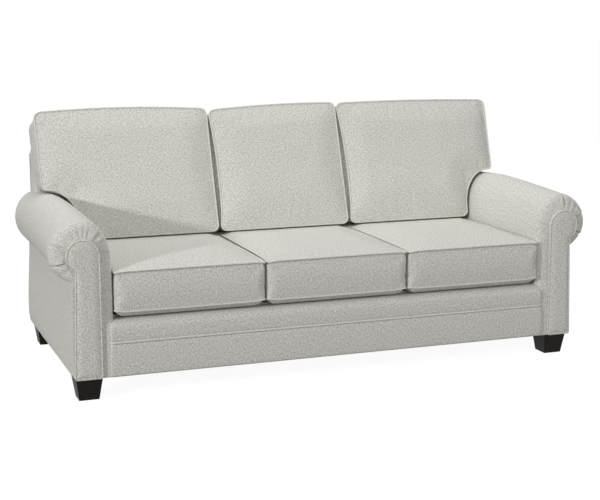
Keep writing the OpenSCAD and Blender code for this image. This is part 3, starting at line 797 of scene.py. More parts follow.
@dataclass(frozen=True)
class DrawnSteel(Finish):
    """Spring wire drawn through a die, or zinc-plated small hardware.

    The eye sees grey metal with fine streaks and a broad dull highlight.
    """

    dark: str = "#7c7e82"
    light: str = "#a9abae"
    roughness: float = 0.42
    grain_mm: float = 2.0

    def sockets(self, tree: NodeTree) -> dict[str, object]:
        """Cloudy plating colour, and roughness that varies with it by a tenth either way."""
        cloud = grains(tree, on_object(tree), (self.grain_mm,) * 3, 4.0)
        values = {0: cloud, 1: 0.2, 2: self.roughness - 0.1}
        rough = put_node(tree, "ShaderNodeMath", {"operation": "MULTIPLY_ADD"}, values)
        return {
            "Base Color": self.coloured(tree, cloud, 0.3, 0.7),
            "Roughness": rough.outputs["Value"],
            "Metallic": 1.0,
        }


@dataclass(frozen=True)
class FlatCloth(Finish):
    """Strap, lining or tape: jute webbing, spun-bonded cover cloth, deck cloth, zip tape.

    The eye sees a matt cloth with crossing threads at a plain spacing.
    """

    dark: str = "#6e5b3e"
    light: str = "#8f7a58"
    thread_mm: float = 3.0

    def sockets(self, tree: NodeTree) -> dict[str, object]:
        """Crossing waves as threads, in colour and bump."""
        rows = summed(tree, threads(tree, on_object(tree), "XYZ", self.thread_mm, Distortion=1.0), 1 / 3)
        return {
            "Base Color": self.coloured(tree, rows, 0.25, 0.75),
            "Normal": self.relief(tree, rows, 0.5, 0.3),
            "Roughness": 0.95,
            "Specular IOR Level": 0.2,
        }


@dataclass(frozen=True)
class OpenFoam(Finish):
    """Slab-cut polyurethane foam. The eye sees cream with small open pores."""

    dark: str = "#cfc6a4"
    light: str = "#efe9d2"
    pore_mm: float = 2.5

    def sockets(self, tree: NodeTree) -> dict[str, object]:
        """Pores from a cell pattern, in colour and bump."""
        inputs = {"Vector": on_object(tree), "Scale": 1 / (self.pore_mm * MM)}
        pores = put_node(tree, "ShaderNodeTexVoronoi", inputs=inputs).outputs["Distance"]
        return {
            "Base Color": self.coloured(tree, pores, 0.1, 0.5),
            "Normal": self.relief(tree, pores, 0.5, 0.6),
            "Roughness": 1.0,
        }


@dataclass(frozen=True)
class PaleFloor(Finish):
    """Seamless studio paper: white to the camera, with the sofa's soft shadow kept on it."""

    light: str = "#7c7c7c"
    glow: float = 0.94

    def sockets(self, tree: NodeTree) -> dict[str, object]:
        """Matt paper."""
        return {"Base Color": linear(self.light), "Roughness": 1.0, "Specular IOR Level": 0.0}

    def surface(self, tree: NodeTree) -> NodeSocket:
        """Paper, with the rest of the white added for what the camera and reflections see."""
        strength = summed(tree, [is_seen(tree)], self.glow)
        glow = put_node(tree, "ShaderNodeEmission", inputs={"Color": WHITE, "Strength": strength})
        shaders = {0: Finish.surface(self, tree), 1: glow.outputs["Emission"]}
        return put_node(tree, "ShaderNodeAddShader", inputs=shaders).outputs["Shader"]


BODY_CLOTH = HeatheredWeave("heathered_weave_body")
CUSHION_CLOTH = HeatheredWeave("heathered_weave_cushions")
# The welts are of the cushions' own weave; this copy is painted lighter, a painted highlight for the light
# that catches the welts' rounded tops.
WELT_CLOTH_PAINTED_LIGHTER = HeatheredWeave("heathered_weave_welts_painted_lighter", "#bab7b0", middle="#d4d2cc", speck_mm=3.0)
FOOT_WOOD = StainedWood("hardwood_stained_espresso")
FRAME_BEECH = PlanedWood("beech_planed")
FRAME_PLY = PlanedWood("birch_plywood_sanded", "#b8966a", "#d8bd92", (16.667, 71.429, 16.667))
SPRING_STEEL = DrawnSteel("spring_steel_drawn")
ZINC_STEEL = DrawnSteel("steel_zinc_plated", "#9ea1a6", "#c3c6ca", 0.34)
JUTE = FlatCloth("jute_webbing_woven")
CUSHION_FOAM = OpenFoam("polyurethane_foam_cut")
COVER_CLOTH = FlatCloth("polypropylene_cloth_spun_bonded", "#1a1a1c", "#2b2b2d", 2.4)
DECK_CLOTH = FlatCloth("cotton_deck_cloth_woven", "#b3b0a8", "#c9c6bf")
ZIP_TAPE = FlatCloth("polyester_zip_tape_woven", "#6f6c66", "#a6a39b", 2.5)

SLOT_FINISHES: dict[str, Finish] = {
    "body_fabric": BODY_CLOTH,
    "cushion_fabric": CUSHION_CLOTH,
    "welt_fabric": WELT_CLOTH_PAINTED_LIGHTER,
    "espresso_wood": FOOT_WOOD,
    "beech": FRAME_BEECH,
    "plywood": FRAME_PLY,
    "spring_steel": SPRING_STEEL,
    "zinc_steel": ZINC_STEEL,
    "jute_webbing": JUTE,
    "foam": CUSHION_FOAM,
    "dark_cloth": COVER_CLOTH,
    "zip": ZIP_TAPE,
}


# What every sewn piece has in common


@dataclass
class Piece:
    """A visible piece that stands for one or more solids and rides on a body."""

    name: str
    body: str
    nodes: tuple[str, ...]
    slot: str = "body_fabric"
    fill: float | None = 0.8

    def placed(self, made: Object) -> Object:
        """Rides the object on its body and hides the solids that it stands for.

        Args:
            made: The finished object.

        Returns:
            The same object.
        """
        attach(made, self.body)
        if self.nodes:
            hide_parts(*self.nodes)
        LOG.info("%s: %d faces", made.name, len(made.data.polygons))
        return made


def sewn(cover: Cover, *nodes: str, sharp: float = 60.0) -> None:
    """Makes a cover of the body's cloth and rides it on the sofa's body.

    Args:
        cover: The cover's points and faces.
        nodes: The solids that it stands for.
        sharp: Angle in degrees over which an edge is a crease.
    """
    Piece(cover.name, "sofa_body", nodes).placed(cover.made(BODY_CLOTH, sharp))


# Loose cushions


@dataclass
class BoxedCushion:
    """A loose cushion: two faces sewn to a boxing strip, with a welt in the seam.

    The cover is drawn a little small and then blown up by a cloth simulation with its
    seams held, and each point moves no further than its own limit.
    """

    name: str
    body: str
    node: str
    seed: float
    counts: tuple[int, ...] = ()
    cells: tuple[int, int] = (40, 40)
    notch: tuple[int, int] = (40, 0)
    boxing_rows: int = 24
    welt_r: float = 3.4
    welt_inset: float = 3.6
    # The word for each seam that has a welt.
    welts: tuple[str, ...] = ("front",)
    groove: float = 8.5
    # Place of the groove's middle under the seam and its width, as shares of the thickness.
    groove_at: float = 0.034
    groove_w: float = 0.028
    rest_z: float = 474.05
    rest_y: float = 109.5
    rest_slope: float = 5.2
    # Most that the simulation moves a face, any boxing, and boxing that is free besides.
    face_move: float = 8.0
    boxing_move: float = 2.6
    free_move: float = 5.4
    cover: Object | None = None
    limits: Array | None = None
    seams: list[Array] = field(default_factory=list)

    def outline(self, level: float) -> list[Array]:
        """Sides of the outline.

        Args:
            level: Share of the thickness, from the rear or lower face.

        Returns:
            The sides, each with its points as rows.
        """
        raise NotImplementedError

    def placed_at(self, a: Array, b: Array, level: float, rise: Array | float) -> Array:
        """Points of the cushion in the sofa.

        Args:
            a: Places across.
            b: Places from front to rear on a seat cushion, and up on a back cushion.
            level: Share of the thickness.
            rise: Distance past it.

        Returns:
            The points, with their three coordinates last.
        """
        raise NotImplementedError

    def face_rise(self, crown: Array, a: Array, b: Array, front: bool) -> Array:
        """Rise of a face over its seam.

        Args:
            crown: An even bulge, from 0 at the seam to 1.
            a: Places across.
            b: Places from front to rear, or up.
            front: True for the front or upper face.

        Returns:
            The rise at each place.
        """
        raise NotImplementedError

    def boxing_draw(self, share: float) -> float:
        """How far the boxing stands in from the seams: a groove beside the front or upper welt."""
        return self.groove * math.exp(-(((1.0 - share - self.groove_at) / self.groove_w) ** 2))

    def move_limit(self, spot: "Spot", places: Array, share: float) -> Array:
        """How far the simulation may move each point.

        Args:
            spot: The part of the cushion that the points are on.
            places: The points in the sofa.
            share: Share of the thickness.

        Returns:
            One distance a point.
        """
        raise NotImplementedError

    def loop(self, level: float, draw: float) -> Array:
        """The outline as one ring of points.

        Args:
            level: Share of the thickness.
            draw: How far it is drawn in.

        Returns:
            The points as rows, without the first one again.
        """
        parts = [resampled(side, n)[:-1] for side, n in zip(self.outline(level), self.counts)]
        ring = np.concatenate(parts)
        ahead = np.roll(ring, -1, axis=0) - np.roll(ring, 1, axis=0)
        ahead /= np.linalg.norm(ahead, axis=1)[:, None]
        return ring + at(-ahead[:, 1], ahead[:, 0]) * draw

    def face(self, ring: Array, front: bool) -> tuple[Array, Array, Array]:
        """Grid of one face inside its ring.

        Args:
            ring: The face's outline.
            front: True for the front or upper face.

        Returns:
            Places in the plane of the face, rise over it, and which places are there.
        """
        nx, ny = self.cells
        ids = notched_loop(self.cells, self.notch)
        there = np.ones((nx + 1, ny + 1), bool)
        there[self.notch[0] + 1 :, : self.notch[1]] = False
        free = there.copy()
        plane = np.zeros((nx + 1, ny + 1, 2))
        plane[:] = ring.mean(axis=0)
        for (i, j), spot in zip(ids, ring):
            plane[i, j] = spot
            free[i, j] = False
        plane = relaxed(plane, free)
        bulge = relaxed(np.zeros((nx + 1, ny + 1, 1)), free, 1.0)[..., 0]
        crown = bulge / bulge.max()
        return plane, self.face_rise(crown, plane[..., 0], plane[..., 1], front), there

    def build(self) -> None:
        """Makes the cover's mesh, its movement limits and its seam lines."""
        mesh = Cover(self.name)
        nx, ny = self.cells
        ids = notched_loop(self.cells, self.notch)
        keep = np.ones((nx, ny), bool)
        keep[self.notch[0] :, : self.notch[1]] = False
        limits: list[Array] = []
        edges: list[Array] = []
        for level, front in ((1.0, True), (0.0, False)):
            plane, rise, there = self.face(self.loop(level, self.welt_inset), front)
            places = self.placed_at(plane[..., 0], plane[..., 1], level, rise)
            numbers = np.full(there.shape, -1)
            numbers[there] = mesh.points(places[there])
            mesh.quads(numbers, plane + self.seed * 100, keep)
            limits.append(self.move_limit(Spot.FRONT if front else Spot.REAR, places[there], level))
            edges.append(np.array([numbers[q] for q in ids]))
        shares = 0.5 + 0.5 * np.cos(np.linspace(0.0, math.pi, self.boxing_rows + 1))
        rows, spots = [edges[0]], [self.ring_places(1.0, 0.0)]
        for share in shares[1:-1]:
            places = self.ring_places(share, self.boxing_draw(share))
            rows.append(mesh.points(places))
            spots.append(places)
            limits.append(self.move_limit(Spot.BOXING, places, share))
        rows.append(edges[1])
        spots.append(self.ring_places(0.0, 0.0))
        mesh.quads(closed(np.stack(rows)), cloth_uv(closed(np.stack(spots))) + self.seed * 37)
        self.cover = mesh.made(CUSHION_CLOTH)
        self.limits = np.concatenate(limits)
        self.limits[np.concatenate(edges)] = 0.0
        self.seams = edges
        held = self.cover.vertex_groups.new(name="seams")
        held.add([int(k) for k in np.concatenate(edges)], 1.0, "REPLACE")

    def ring_places(self, share: float, draw: float) -> Array:
        """Points of one ring of the boxing in the sofa."""
        ring = self.loop(share, self.welt_inset + draw)
        return self.placed_at(*ring.T, share, 0.0)

    def settle(self, places: Array) -> Array:
        """Last change to the points after the simulation, such as where another cushion lies on it."""
        return places

    def dress(self, places: Array) -> None:
        """Sets the cover's last shape and sews the welts into its seams.

        Args:
            places: The points after the simulation, in millimetres.
        """
        places = self.settle(places)
        self.cover.data.vertices.foreach_set("co", (places * MM).ravel().astype(np.float32))
        self.cover.data.update()
        finer = self.cover.modifiers.new("finer", "SUBSURF")
        finer.levels = finer.render_levels = 1
        Piece(self.name, self.body, (self.node,), "cushion_fabric", 0.85).placed(self.cover)
        for seam, word in zip(self.seams, self.welts):
            line = looped(places[seam], 2 * len(seam))
            # The welts use the weave painted lighter, a painted highlight.
            cord(f"{self.name}_welt_{word}", line, self.welt_r, WELT_CLOTH_PAINTED_LIGHTER, body=self.body)


class Spot(Enum):
    """Where on a cushion a point lies."""

    FRONT = "front"
    REAR = "rear"
    BOXING = "boxing"


# Steps of a cushion's side before it is bowed and drawn in.
SIDE_STEPS = 160


def corner(cx: float, cy: float, r: float, start: float) -> Array:
    """Half a rounded corner: an arc of 45 degrees from its start angle."""
    return arc(cx, cy, r, r, start, start + 45, 8)


def rounded_sides(x0: float, x1: float, y0: float, y1: float, r: float) -> list[Array]:
    """Four sides of a rounded rectangle, each from the middle of one corner to the next.

    Args:
        x0: Lowest first coordinate.
        x1: Highest first coordinate.
        y0: Lowest second coordinate.
        y1: Highest second coordinate.
        r: Radius of the corners.

    Returns:
        The lower, right, upper and left side.
    """
    a, b, c, d = x0 + r, x1 - r, y0 + r, y1 - r
    middles = [(a, c), (b, c), (b, d), (a, d), (a, c)]
    sides = []
    for k, start in enumerate((225, 315, 45, 135)):
        halves = corner(*middles[k], r, start), corner(*middles[k + 1], r, (start + 45) % 360)
        sides.append(resampled(np.concatenate(halves), SIDE_STEPS))
    return sides


@dataclass
class SeatCushion(BoxedCushion):
    """A seat cushion, which lies on the deck and carries the back cushion's lower edge."""

    bay: int = 0
    counts: tuple[int, ...] = (52, 64, 52, 64)
    cells: tuple[int, int] = (52, 64)
    notch: tuple[int, int] = (52, 0)
    low: float = 316.3
    top: float = 460.3
    under: float = 24.0
    crown: float = 20.0
    corner_r: float = 10.0
    # The front corners are lower above and higher below, over a reach across and backwards.
    corner_lift: float = 6.0
    corner_drop: float = 4.0
    corner_reach: Pair = (40.0, 64.0)
    # Distance over which the underside, the crown and its dents rise from the seam.
    under_reach: float = 36.0
    crown_reach: float = 190.0
    dent_reach: float = 90.0
    dent_sizes: Pair = (190.0, 80.0)
    dent_h: float = 2.2
    free_move: float = 6.4
    set_back: float = 7.0
    side_draws: Pair = (6.0, 6.0)
    welts: tuple[str, ...] = ("top", "bottom")

    @property
    def half_w(self) -> float:
        """Half the width."""
        return S.bay_w / 2 - S.soft_gap

    @property
    def y0(self) -> float:
        """Front."""
        return S.y_front + self.set_back

    @property
    def y1(self) -> float:
        """Rear."""
        return S.face_y(self.low) - S.soft_gap

    def outline(self, level: float) -> list[Array]:
        """Rounded rectangle whose sides draw in between the corners."""
        sides = rounded_sides(-self.half_w, self.half_w, self.y0, self.y1, self.corner_r)
        middle, half_d = (self.y0 + self.y1) / 2, (self.y1 - self.y0) / 2
        drawn = []
        for side in sides:
            u, v = side[:, 0] / self.half_w, (side[:, 1] - middle) / half_d
            pull = np.where(u < 0, *self.side_draws) * (0.25 + 0.75 * level**2)
            x = side[:, 0] - pull * u**3 * (1 - v**4)
            full = (self.welt_inset - 0.2) * (1.0 - abs(2.0 * level - 1.0) ** 8)
            rear = full * smooth_step((v - 0.9) / 0.08)
            y = side[:, 1] + np.where(v < 0, (-v) ** 3 * (1 - u**2), rear)
            drawn.append(at(x, y))
        return drawn

    def placed_at(self, a: Array, b: Array, level: float, rise: Array | float) -> Array:
        """Points over the deck: level is the share of the boxing's height."""
        wide, deep = self.corner_reach
        near = smooth_step((np.abs(a) - self.half_w + wide) / wide)
        near = near * smooth_step((self.y0 + deep - b) / deep)
        z = self.low + (self.top - self.low) * level + rise
        z = z + near * (self.corner_lift * (1.0 - level) ** 2 - self.corner_drop * level**2)
        return at(a + self.bay * S.bay_w, b, z)

    def face_rise(self, crown: Array, a: Array, b: Array, front: bool) -> Array:
        """Crown over the upper seam, or the flat underside with its rounded edge."""
        reach_x, reach_y = self.half_w - np.abs(a), np.minimum(b - self.y0, self.y1 - b)
        if not front:
            edge = np.minimum(reach_x, reach_y) - self.welt_inset
            return -self.under * swell(edge, self.under_reach, 2.0)
        across, along = (swell(reach - self.welt_inset, self.crown_reach) for reach in (reach_x, reach_y))
        spots = at(a + self.bay * S.bay_w, b, 0.0)
        uneven = finer_dents(spots, self.dent_sizes, (self.seed, self.seed + 9), 0.5)
        uneven = self.dent_h * uneven * swell(reach_x, self.dent_reach) * swell(reach_y, self.dent_reach)
        return self.crown * across * along + uneven

    def move_limit(self, spot: Spot, places: Array, share: float) -> Array:
        """Free at the crown and the front of the boxing, held where something touches it."""
        x, y = places[:, 0] - self.bay * S.bay_w, places[:, 1]
        if spot is Spot.REAR:
            return np.zeros(len(places))
        if spot is Spot.FRONT:
            edge = np.minimum(self.half_w - np.abs(x), np.minimum(y - self.y0, self.y1 - y))
            return self.face_move * swell(edge, 60.0) * smooth_step((self.rest_y + 20.0 - y) / 60.0 + 0.35)
        free = self.boxing_move + self.free_move * smooth_step((self.y0 + 26.0 - y) / 24.0)
        return math.sin(math.pi * share) * free * smooth_step((self.y1 - y) / 40.0)

    def settle(self, places: Array) -> Array:
        """Presses the crown flat under the back cushion."""
        out = places.copy()
        plane = self.rest_z - (out[:, 1] - self.rest_y) * math.tan(math.radians(self.rest_slope)) - 0.6
        top = out[:, 2] > self.top + 0.01
        out[top, 2] = np.minimum(out[top, 2], np.maximum(plane[top], self.top))
        return out


@dataclass
class BackCushion(BoxedCushion):
    """The middle back cushion, which leans on the padded back and stands on the seat."""

    thick: float = 163.0
    top_h: float = 964.7
    crown: float = 24.0
    bow: float = 8.5
    ends: Pair = (-9.0, 9.5)
    low_ease: float = 4.0
    seam_draws: Pair = (16.0, 1.0)
    corner_r: float = 28.0
    rear_inset: float = 7.0
    # The crown rises more slowly from the lower seam, as if it were further away.
    low_share: float = 0.6
    dent_sizes: Pair = (170.0, 75.0)
    dent_h: float = 2.6
    counts: tuple[int, ...] = (52, 48, 52, 48)
    cells: tuple[int, int] = (52, 48)
    notch: tuple[int, int] = (52, 0)

    def low_h(self, m: float) -> float:
        """Height along the lean of the lower face, which follows the seat's slope.

        Args:
            m: Distance in front of the inside back.

        Returns:
            The height.
        """
        lean, t = math.radians(S.back_lean), math.tan(math.radians(self.rest_slope))
        c, s = math.cos(lean), math.sin(lean)
        rest = self.rest_z + S.soft_gap - (S.face_y(0) - self.rest_y) * t
        return (rest + m * (c * t - s)) / (c + s * t)

    @property
    def high_h(self) -> float:
        """Height along the lean of the upper front edge, before its bow."""
        lean = math.radians(S.back_lean)
        return (self.top_h - (self.thick + S.soft_gap) * math.sin(lean)) / math.cos(lean)

    def at_m(self, level: float) -> float:
        """Distance in front of the inside back at a share of the thickness."""
        return S.soft_gap + self.thick * level

    def span(self) -> Pair:
        """First and last place across."""
        half = S.bay_w / 2 - S.soft_gap
        return -half, half

    def shares(self, a: Array, b: Array, m: float) -> tuple[Array, Array]:
        """Share of a place across, from -1 to 1, and up, from 0 to past 1 over the upper edge."""
        x0, x1 = self.span()
        up = (b - self.low_h(m)) / (self.high_h - self.low_h(m))
        return (2 * a - x0 - x1) / (x1 - x0), np.clip(up, 0.0, None)

    def bowed(self, side: Array, m: float) -> Array:
        """Bows the upper edge upwards between its corners and moves its ends up or down.

        Args:
            side: Points of a side as rows.
            m: Distance in front of the inside back.

        Returns:
            The points after that.
        """
        u, v = self.shares(side[:, 0], side[:, 1], m)
        low, high = self.ends
        raised = low * (1 - u) / 2 + high * (1 + u) / 2 + self.bow * (1 - u**2)
        return at(side[:, 0], side[:, 1] + v**3 * raised)

    def drawn(self, side: Array, level: float) -> Array:
        """Draws the front seam in between its corners, as a full cushion pulls it.

        Args:
            side: Points of a side as rows.
            level: Share of the thickness.

        Returns:
            The points after that.
        """
        u, v = self.shares(side[:, 0], side[:, 1], self.at_m(level))
        pull = np.where(u < 0, *self.seam_draws) * step_at(level, 0.87, 1.0)
        between = 1.0 - (2.0 * v.clip(0.0, 1.0) ** 0.8 - 1.0) ** 2
        return at(side[:, 0] - between * pull * u**3, side[:, 1])

    def eased(self, level: float) -> float:
        """How far the lower front seam stands off the seat."""
        return self.low_ease * step_at(level, 0.5, 1.0)

    def rear_draw(self, level: float) -> float:
        """How much smaller the cushion is near its rear face."""
        return self.rear_inset * (1.0 - step_at(level, 0.0, 0.1))

    def outline(self, level: float) -> list[Array]:
        """Rounded rectangle with a bowed upper side."""
        m, d = self.at_m(level), self.rear_draw(level)
        x0, x1 = self.span()
        low, high = self.low_h(m) + d + self.eased(level), self.high_h - d
        sides = rounded_sides(x0 + d, x1 - d, low, high, self.corner_r)
        return [self.drawn(self.bowed(side, m), level) for side in sides]

    def placed_at(self, a: Array, b: Array, level: float, rise: Array | float) -> Array:
        """Points in front of the inside back."""
        return S.on_back(a, b, self.at_m(level) + rise)

    def edge_distance(self, a: Array, b: Array, m: float) -> Array:
        """Distance of places to the nearest side of the outline.

        Args:
            a: Places across.
            b: Heights along the lean.
            m: Distance in front of the inside back.

        Returns:
            One distance a place.
        """
        x0, x1 = self.span()
        low = self.low_share * (b - self.low_h(m))
        return np.minimum(np.minimum(a - x0, x1 - a), np.minimum(low, self.high_h + self.bow - b))

    def face_rise(self, crown: Array, a: Array, b: Array, front: bool) -> Array:
        """Crown of the front face; the rear face lies flat on the padded back."""
        if not front:
            return np.zeros_like(a)
        m = self.at_m(1.0)
        edge = self.edge_distance(a, b, m) - self.welt_inset
        spots = self.placed_at(a, b, 1.0, 0.0)
        uneven = finer_dents(spots, self.dent_sizes, (self.seed, self.seed + 5), 0.6)
        v = self.shares(a, b, m)[1].clip(0.0, 1.0)
        belly = self.crown * (1.25 - 0.6 * v)
        full = belly * (0.55 * swell(edge, 110.0) + 0.45 * crown**0.7)
        return full + self.dent_h * uneven * swell(edge, 80.0)

    def local(self, places: Array) -> tuple[Array, Array]:
        """Places across and up along the lean of points in the sofa."""
        lean = math.radians(S.back_lean)
        y, z = places[:, 1] - S.face_y(0), places[:, 2]
        return places[:, 0], y * math.sin(lean) + z * math.cos(lean)

    def loose(self, x: Array, h: Array) -> Array:
        """1 where the boxing hangs free, at its upper side."""
        return smooth_step((h - self.high_h + 26.0) / 24.0)

    def held(self, x: Array, h: Array) -> Array:
        """0 where the boxing lies on the seat."""
        return smooth_step((h - self.low_h(0.0) - 30.0) / 30.0)

    def move_limit(self, spot: Spot, places: Array, share: float) -> Array:
        """Free at the front face and the upper boxing, held at the neighbours."""
        if spot is Spot.REAR:
            return np.zeros(len(places))
        x, h = self.local(places)
        if spot is Spot.FRONT:
            return self.face_move * swell(self.edge_distance(x, h, self.at_m(1.0)), 60.0)
        free = self.boxing_move + self.free_move * self.loose(x, h)
        return math.sin(math.pi * share) * free * self.held(x, h)


@dataclass
class EaredCushion(BackCushion):
    """An outer back cushion, whose upper half reaches over the arm in an ear."""

    side: Side = Side.RIGHT
    ear_x: float = 976.0
    flare: float = 13.0
    notch_cx: float = 953.75
    notch_rx: float = 108.95
    bend_z: float = 478.7
    notch_top: float = 661.2
    notch_ease: float = 7.0
    counts: tuple[int, ...] = (50, 18, 14, 30, 64, 48)
    cells: tuple[int, int] = (64, 48)
    notch: tuple[int, int] = (50, 18)

    def span(self) -> Pair:
        """First and last place across, on the right-hand side."""
        return S.bay_w / 2 + S.soft_gap, self.ear_x

    @property
    def notch_x(self) -> float:
        """Upright side of the notch."""
        return self.notch_cx - self.notch_rx

    def at_z(self, z: float, m: float) -> float:
        """Height along the lean of a height above the floor."""
        lean = math.radians(S.back_lean)
        return (z - m * math.sin(lean)) / math.cos(lean)

    def edge_distance(self, a: Array, b: Array, m: float) -> Array:
        """Distance to the nearest side, the notch's two sides among them."""
        under = self.at_z(self.notch_top, m)
        notch = np.hypot(np.clip(self.notch_x - a, 0.0, None), np.clip(b - under, 0.0, None))
        return np.minimum(super().edge_distance(a, b, m), notch)

    def outline(self, level: float) -> list[Array]:
        """Lower side, side of the notch, underside of the ear, ear, upper side and inner side."""
        m, d, r = self.at_m(level), self.rear_draw(level), self.corner_r
        er = 0.7 * r
        eased = d + self.notch_ease * step_at(level, 0.5, 1.0)
        x0, x1 = self.span()
        x0, x1, xn = x0 + d, x1 - d, self.notch_x - eased
        low, high = self.low_h(m) + d + self.eased(level), self.high_h - d
        under = self.at_z(self.notch_top, m) + eased
        bend = max(self.at_z(self.bend_z, m), low + r)
        bow = (self.notch_cx, bend, self.notch_cx - xn, under - bend)
        parts = (
            (corner(x0 + r, low + r, r, 225), corner(xn - r, low + r, r, 270)),
            (corner(xn - r, low + r, r, 315), arc(*bow, 180, 135, 16)),
            (arc(*bow, 135, 90, 16), [[x1 - er, under]], corner(x1 - er, under + er, er, 270)),
            (corner(x1 - er, under + er, er, 315), corner(x1 - r, high - r, r, 0)),
            (corner(x1 - r, high - r, r, 45), corner(x0 + r, high - r, r, 90)),
            (corner(x0 + r, high - r, r, 135), corner(x0 + r, low + r, r, 180)),
        )
        shaped = []
        for part in parts:
            side = self.bowed(resampled(np.concatenate(part), SIDE_STEPS), m)
            v = (side[:, 1] - low) / (self.high_h - low)
            reach = np.clip((side[:, 0] - self.notch_x) / (self.ear_x - self.notch_x), 0.0, None)
            shaped.append(self.drawn(at(side[:, 0] + self.flare * v * reach, side[:, 1]), level))
        return shaped

    def placed_at(self, a: Array, b: Array, level: float, rise: Array | float) -> Array:
        """Points in front of the inside back, on the cushion's own side."""
        return super().placed_at(a * self.side.value, b, level, rise)

    def local(self, places: Array) -> tuple[Array, Array]:
        """Places across, as on the right-hand side, and up along the lean."""
        x, h = super().local(places)
        return np.abs(x), h

    def loose(self, x: Array, h: Array) -> Array:
        """1 at the upper side and at the ear's outer side."""
        return np.maximum(super().loose(x, h), smooth_step((x - self.ear_x + 16.0) / 14.0))

    def held(self, x: Array, h: Array) -> Array:
        """0 on the seat and on the arm under the ear."""
        under = self.at_z(self.notch_top, 0.0)
        notch = np.where(x > self.notch_x - 8.0, smooth_step((h - under - 14.0) / 30.0), 1.0)
        return super().held(x, h) * notch


def points_of(mesh: Mesh) -> Array:
    """The points of a mesh, in millimetres."""
    flat = np.zeros(3 * len(mesh.vertices), np.float32)
    mesh.vertices.foreach_get("co", flat)
    return flat.reshape(-1, 3) / MM


# Frames of the cloth simulation.
CLOTH_FRAMES = 20


def blown_up(cushions: Sequence[BoxedCushion]) -> list[Array]:
    """Blows the covers up with a cloth simulation, all at once.

    Args:
        cushions: The cushions with their covers built.

    Returns:
        Each cover's points afterwards, in millimetres, none moved past its limit.
    """
    settings = {
        "quality": 6, "mass": 0.35, "tension_stiffness": 14.0, "compression_stiffness": 14.0,
        "shear_stiffness": 8.0, "bending_stiffness": 0.6, "air_damping": 4.0, "use_pressure": True,
        "uniform_pressure_force": 4.0, "shrink_min": -0.006, "vertex_group_mass": "seams",
    }
    for cushion in cushions:
        cloth = cushion.cover.modifiers.new("blow", "CLOTH")
        for name, value in settings.items():
            setattr(cloth.settings, name, value)
        cloth.settings.effector_weights.gravity = 0.0
        cloth.collision_settings.use_collision = False
        cloth.point_cache.frame_start, cloth.point_cache.frame_end = 1, CLOTH_FRAMES
    for number in range(1, CLOTH_FRAMES + 1):
        bpy.context.scene.frame_set(number)
    after = []
    ready = bpy.context.evaluated_depsgraph_get()
    for cushion in cushions:
        start = points_of(cushion.cover.data)
        step = points_of(cushion.cover.evaluated_get(ready).data) - start
        length = np.linalg.norm(step, axis=1)
        share = np.minimum(1.0, cushion.limits / np.maximum(length, 1e-6))
        LOG.info("%s: cloth moved %.1f mm at most before its limits", cushion.name, length.max())
        after.append(start + step * share[:, None])
        cushion.cover.modifiers.clear()
    bpy.context.scene.frame_set(1)
    return after


@dataclass
class Cushions:
    """The three seat cushions and the three back cushions."""

    def all(self) -> list[BoxedCushion]:
        """The six cushions."""
        made = [
            (SeatCushion, "seat", "left", 1.3, {"bay": -1}),
            (SeatCushion, "seat", "centre", 4.1, {"bay": 0}),
            (SeatCushion, "seat", "right", 7.7, {"bay": 1, "side_draws": (6.0, 10.0)}),
            (EaredCushion, "back", "left", 2.2,
             {"side": Side.LEFT, "seam_draws": (1.0, 0.0), "bow": 14.0, "ends": (-2.0, 2.5)}),
            (BackCushion, "back", "centre", 5.6, {}),
            (EaredCushion, "back", "right", 8.9,
             {"side": Side.RIGHT, "seam_draws": (17.0, 0.0), "bow": 6.5, "ends": (6.5, 2.5)}),
        ]
        return [
            kind(f"{part}_cover_{place}", f"{part}_{place}", f"{part}_cushion_{place}", seed, **more)
            for kind, part, place, seed, more in made
        ]

    def build(self) -> None:
        """Sews, blows up and dresses the six cushions."""
        cushions = self.all()
        for cushion in cushions:
            cushion.build()
        shapes = blown_up(cushions)
        for cushion, places in zip(cushions, shapes):
            cushion.dress(places)


# Arms


# The roll's section along the arm: place along it, drop of the crest, place of the crest
# across, height of the inner and outer bend, reach past the outside face. All are shares.
ROLL_SHARES = np.array([
    [0.025, 0.078, 0.678, 0.295, 0.400, 1.24],
    [0.090, 0.060, 0.690, 0.290, 0.415, 1.18],
    [0.160, 0.044, 0.700, 0.280, 0.435, 1.08],
    [0.239, 0.028, 0.712, 0.274, 0.443, 1.02],
    [0.403, 0.006, 0.747, 0.242, 0.464, 1.00],
    [0.562, 0.000, 0.781, 0.211, 0.485, 1.00],
    [0.662, 0.010, 0.781, 0.211, 0.485, 1.00],
    [0.805, 0.052, 0.747, 0.211, 0.454, 1.00],
    [0.950, 0.106, 0.712, 0.211, 0.422, 1.00],
])


@dataclass(frozen=True)
class Pleat:
    """One gather of the roll's cloth at the panel's head.

    at is its angle round the head in degrees from the outside, deep its depth, wide its
    width, long how far it runs back along the roll, and lean how it turns on the way.
    lap is the side that the cloth folds over from: 1, -1, or 0 for an even gather.
    """

    at: float
    deep: float = 4.0
    wide: float = 5.0
    long: float = 46.0
    lean: float = 0.0
    lap: int = 0


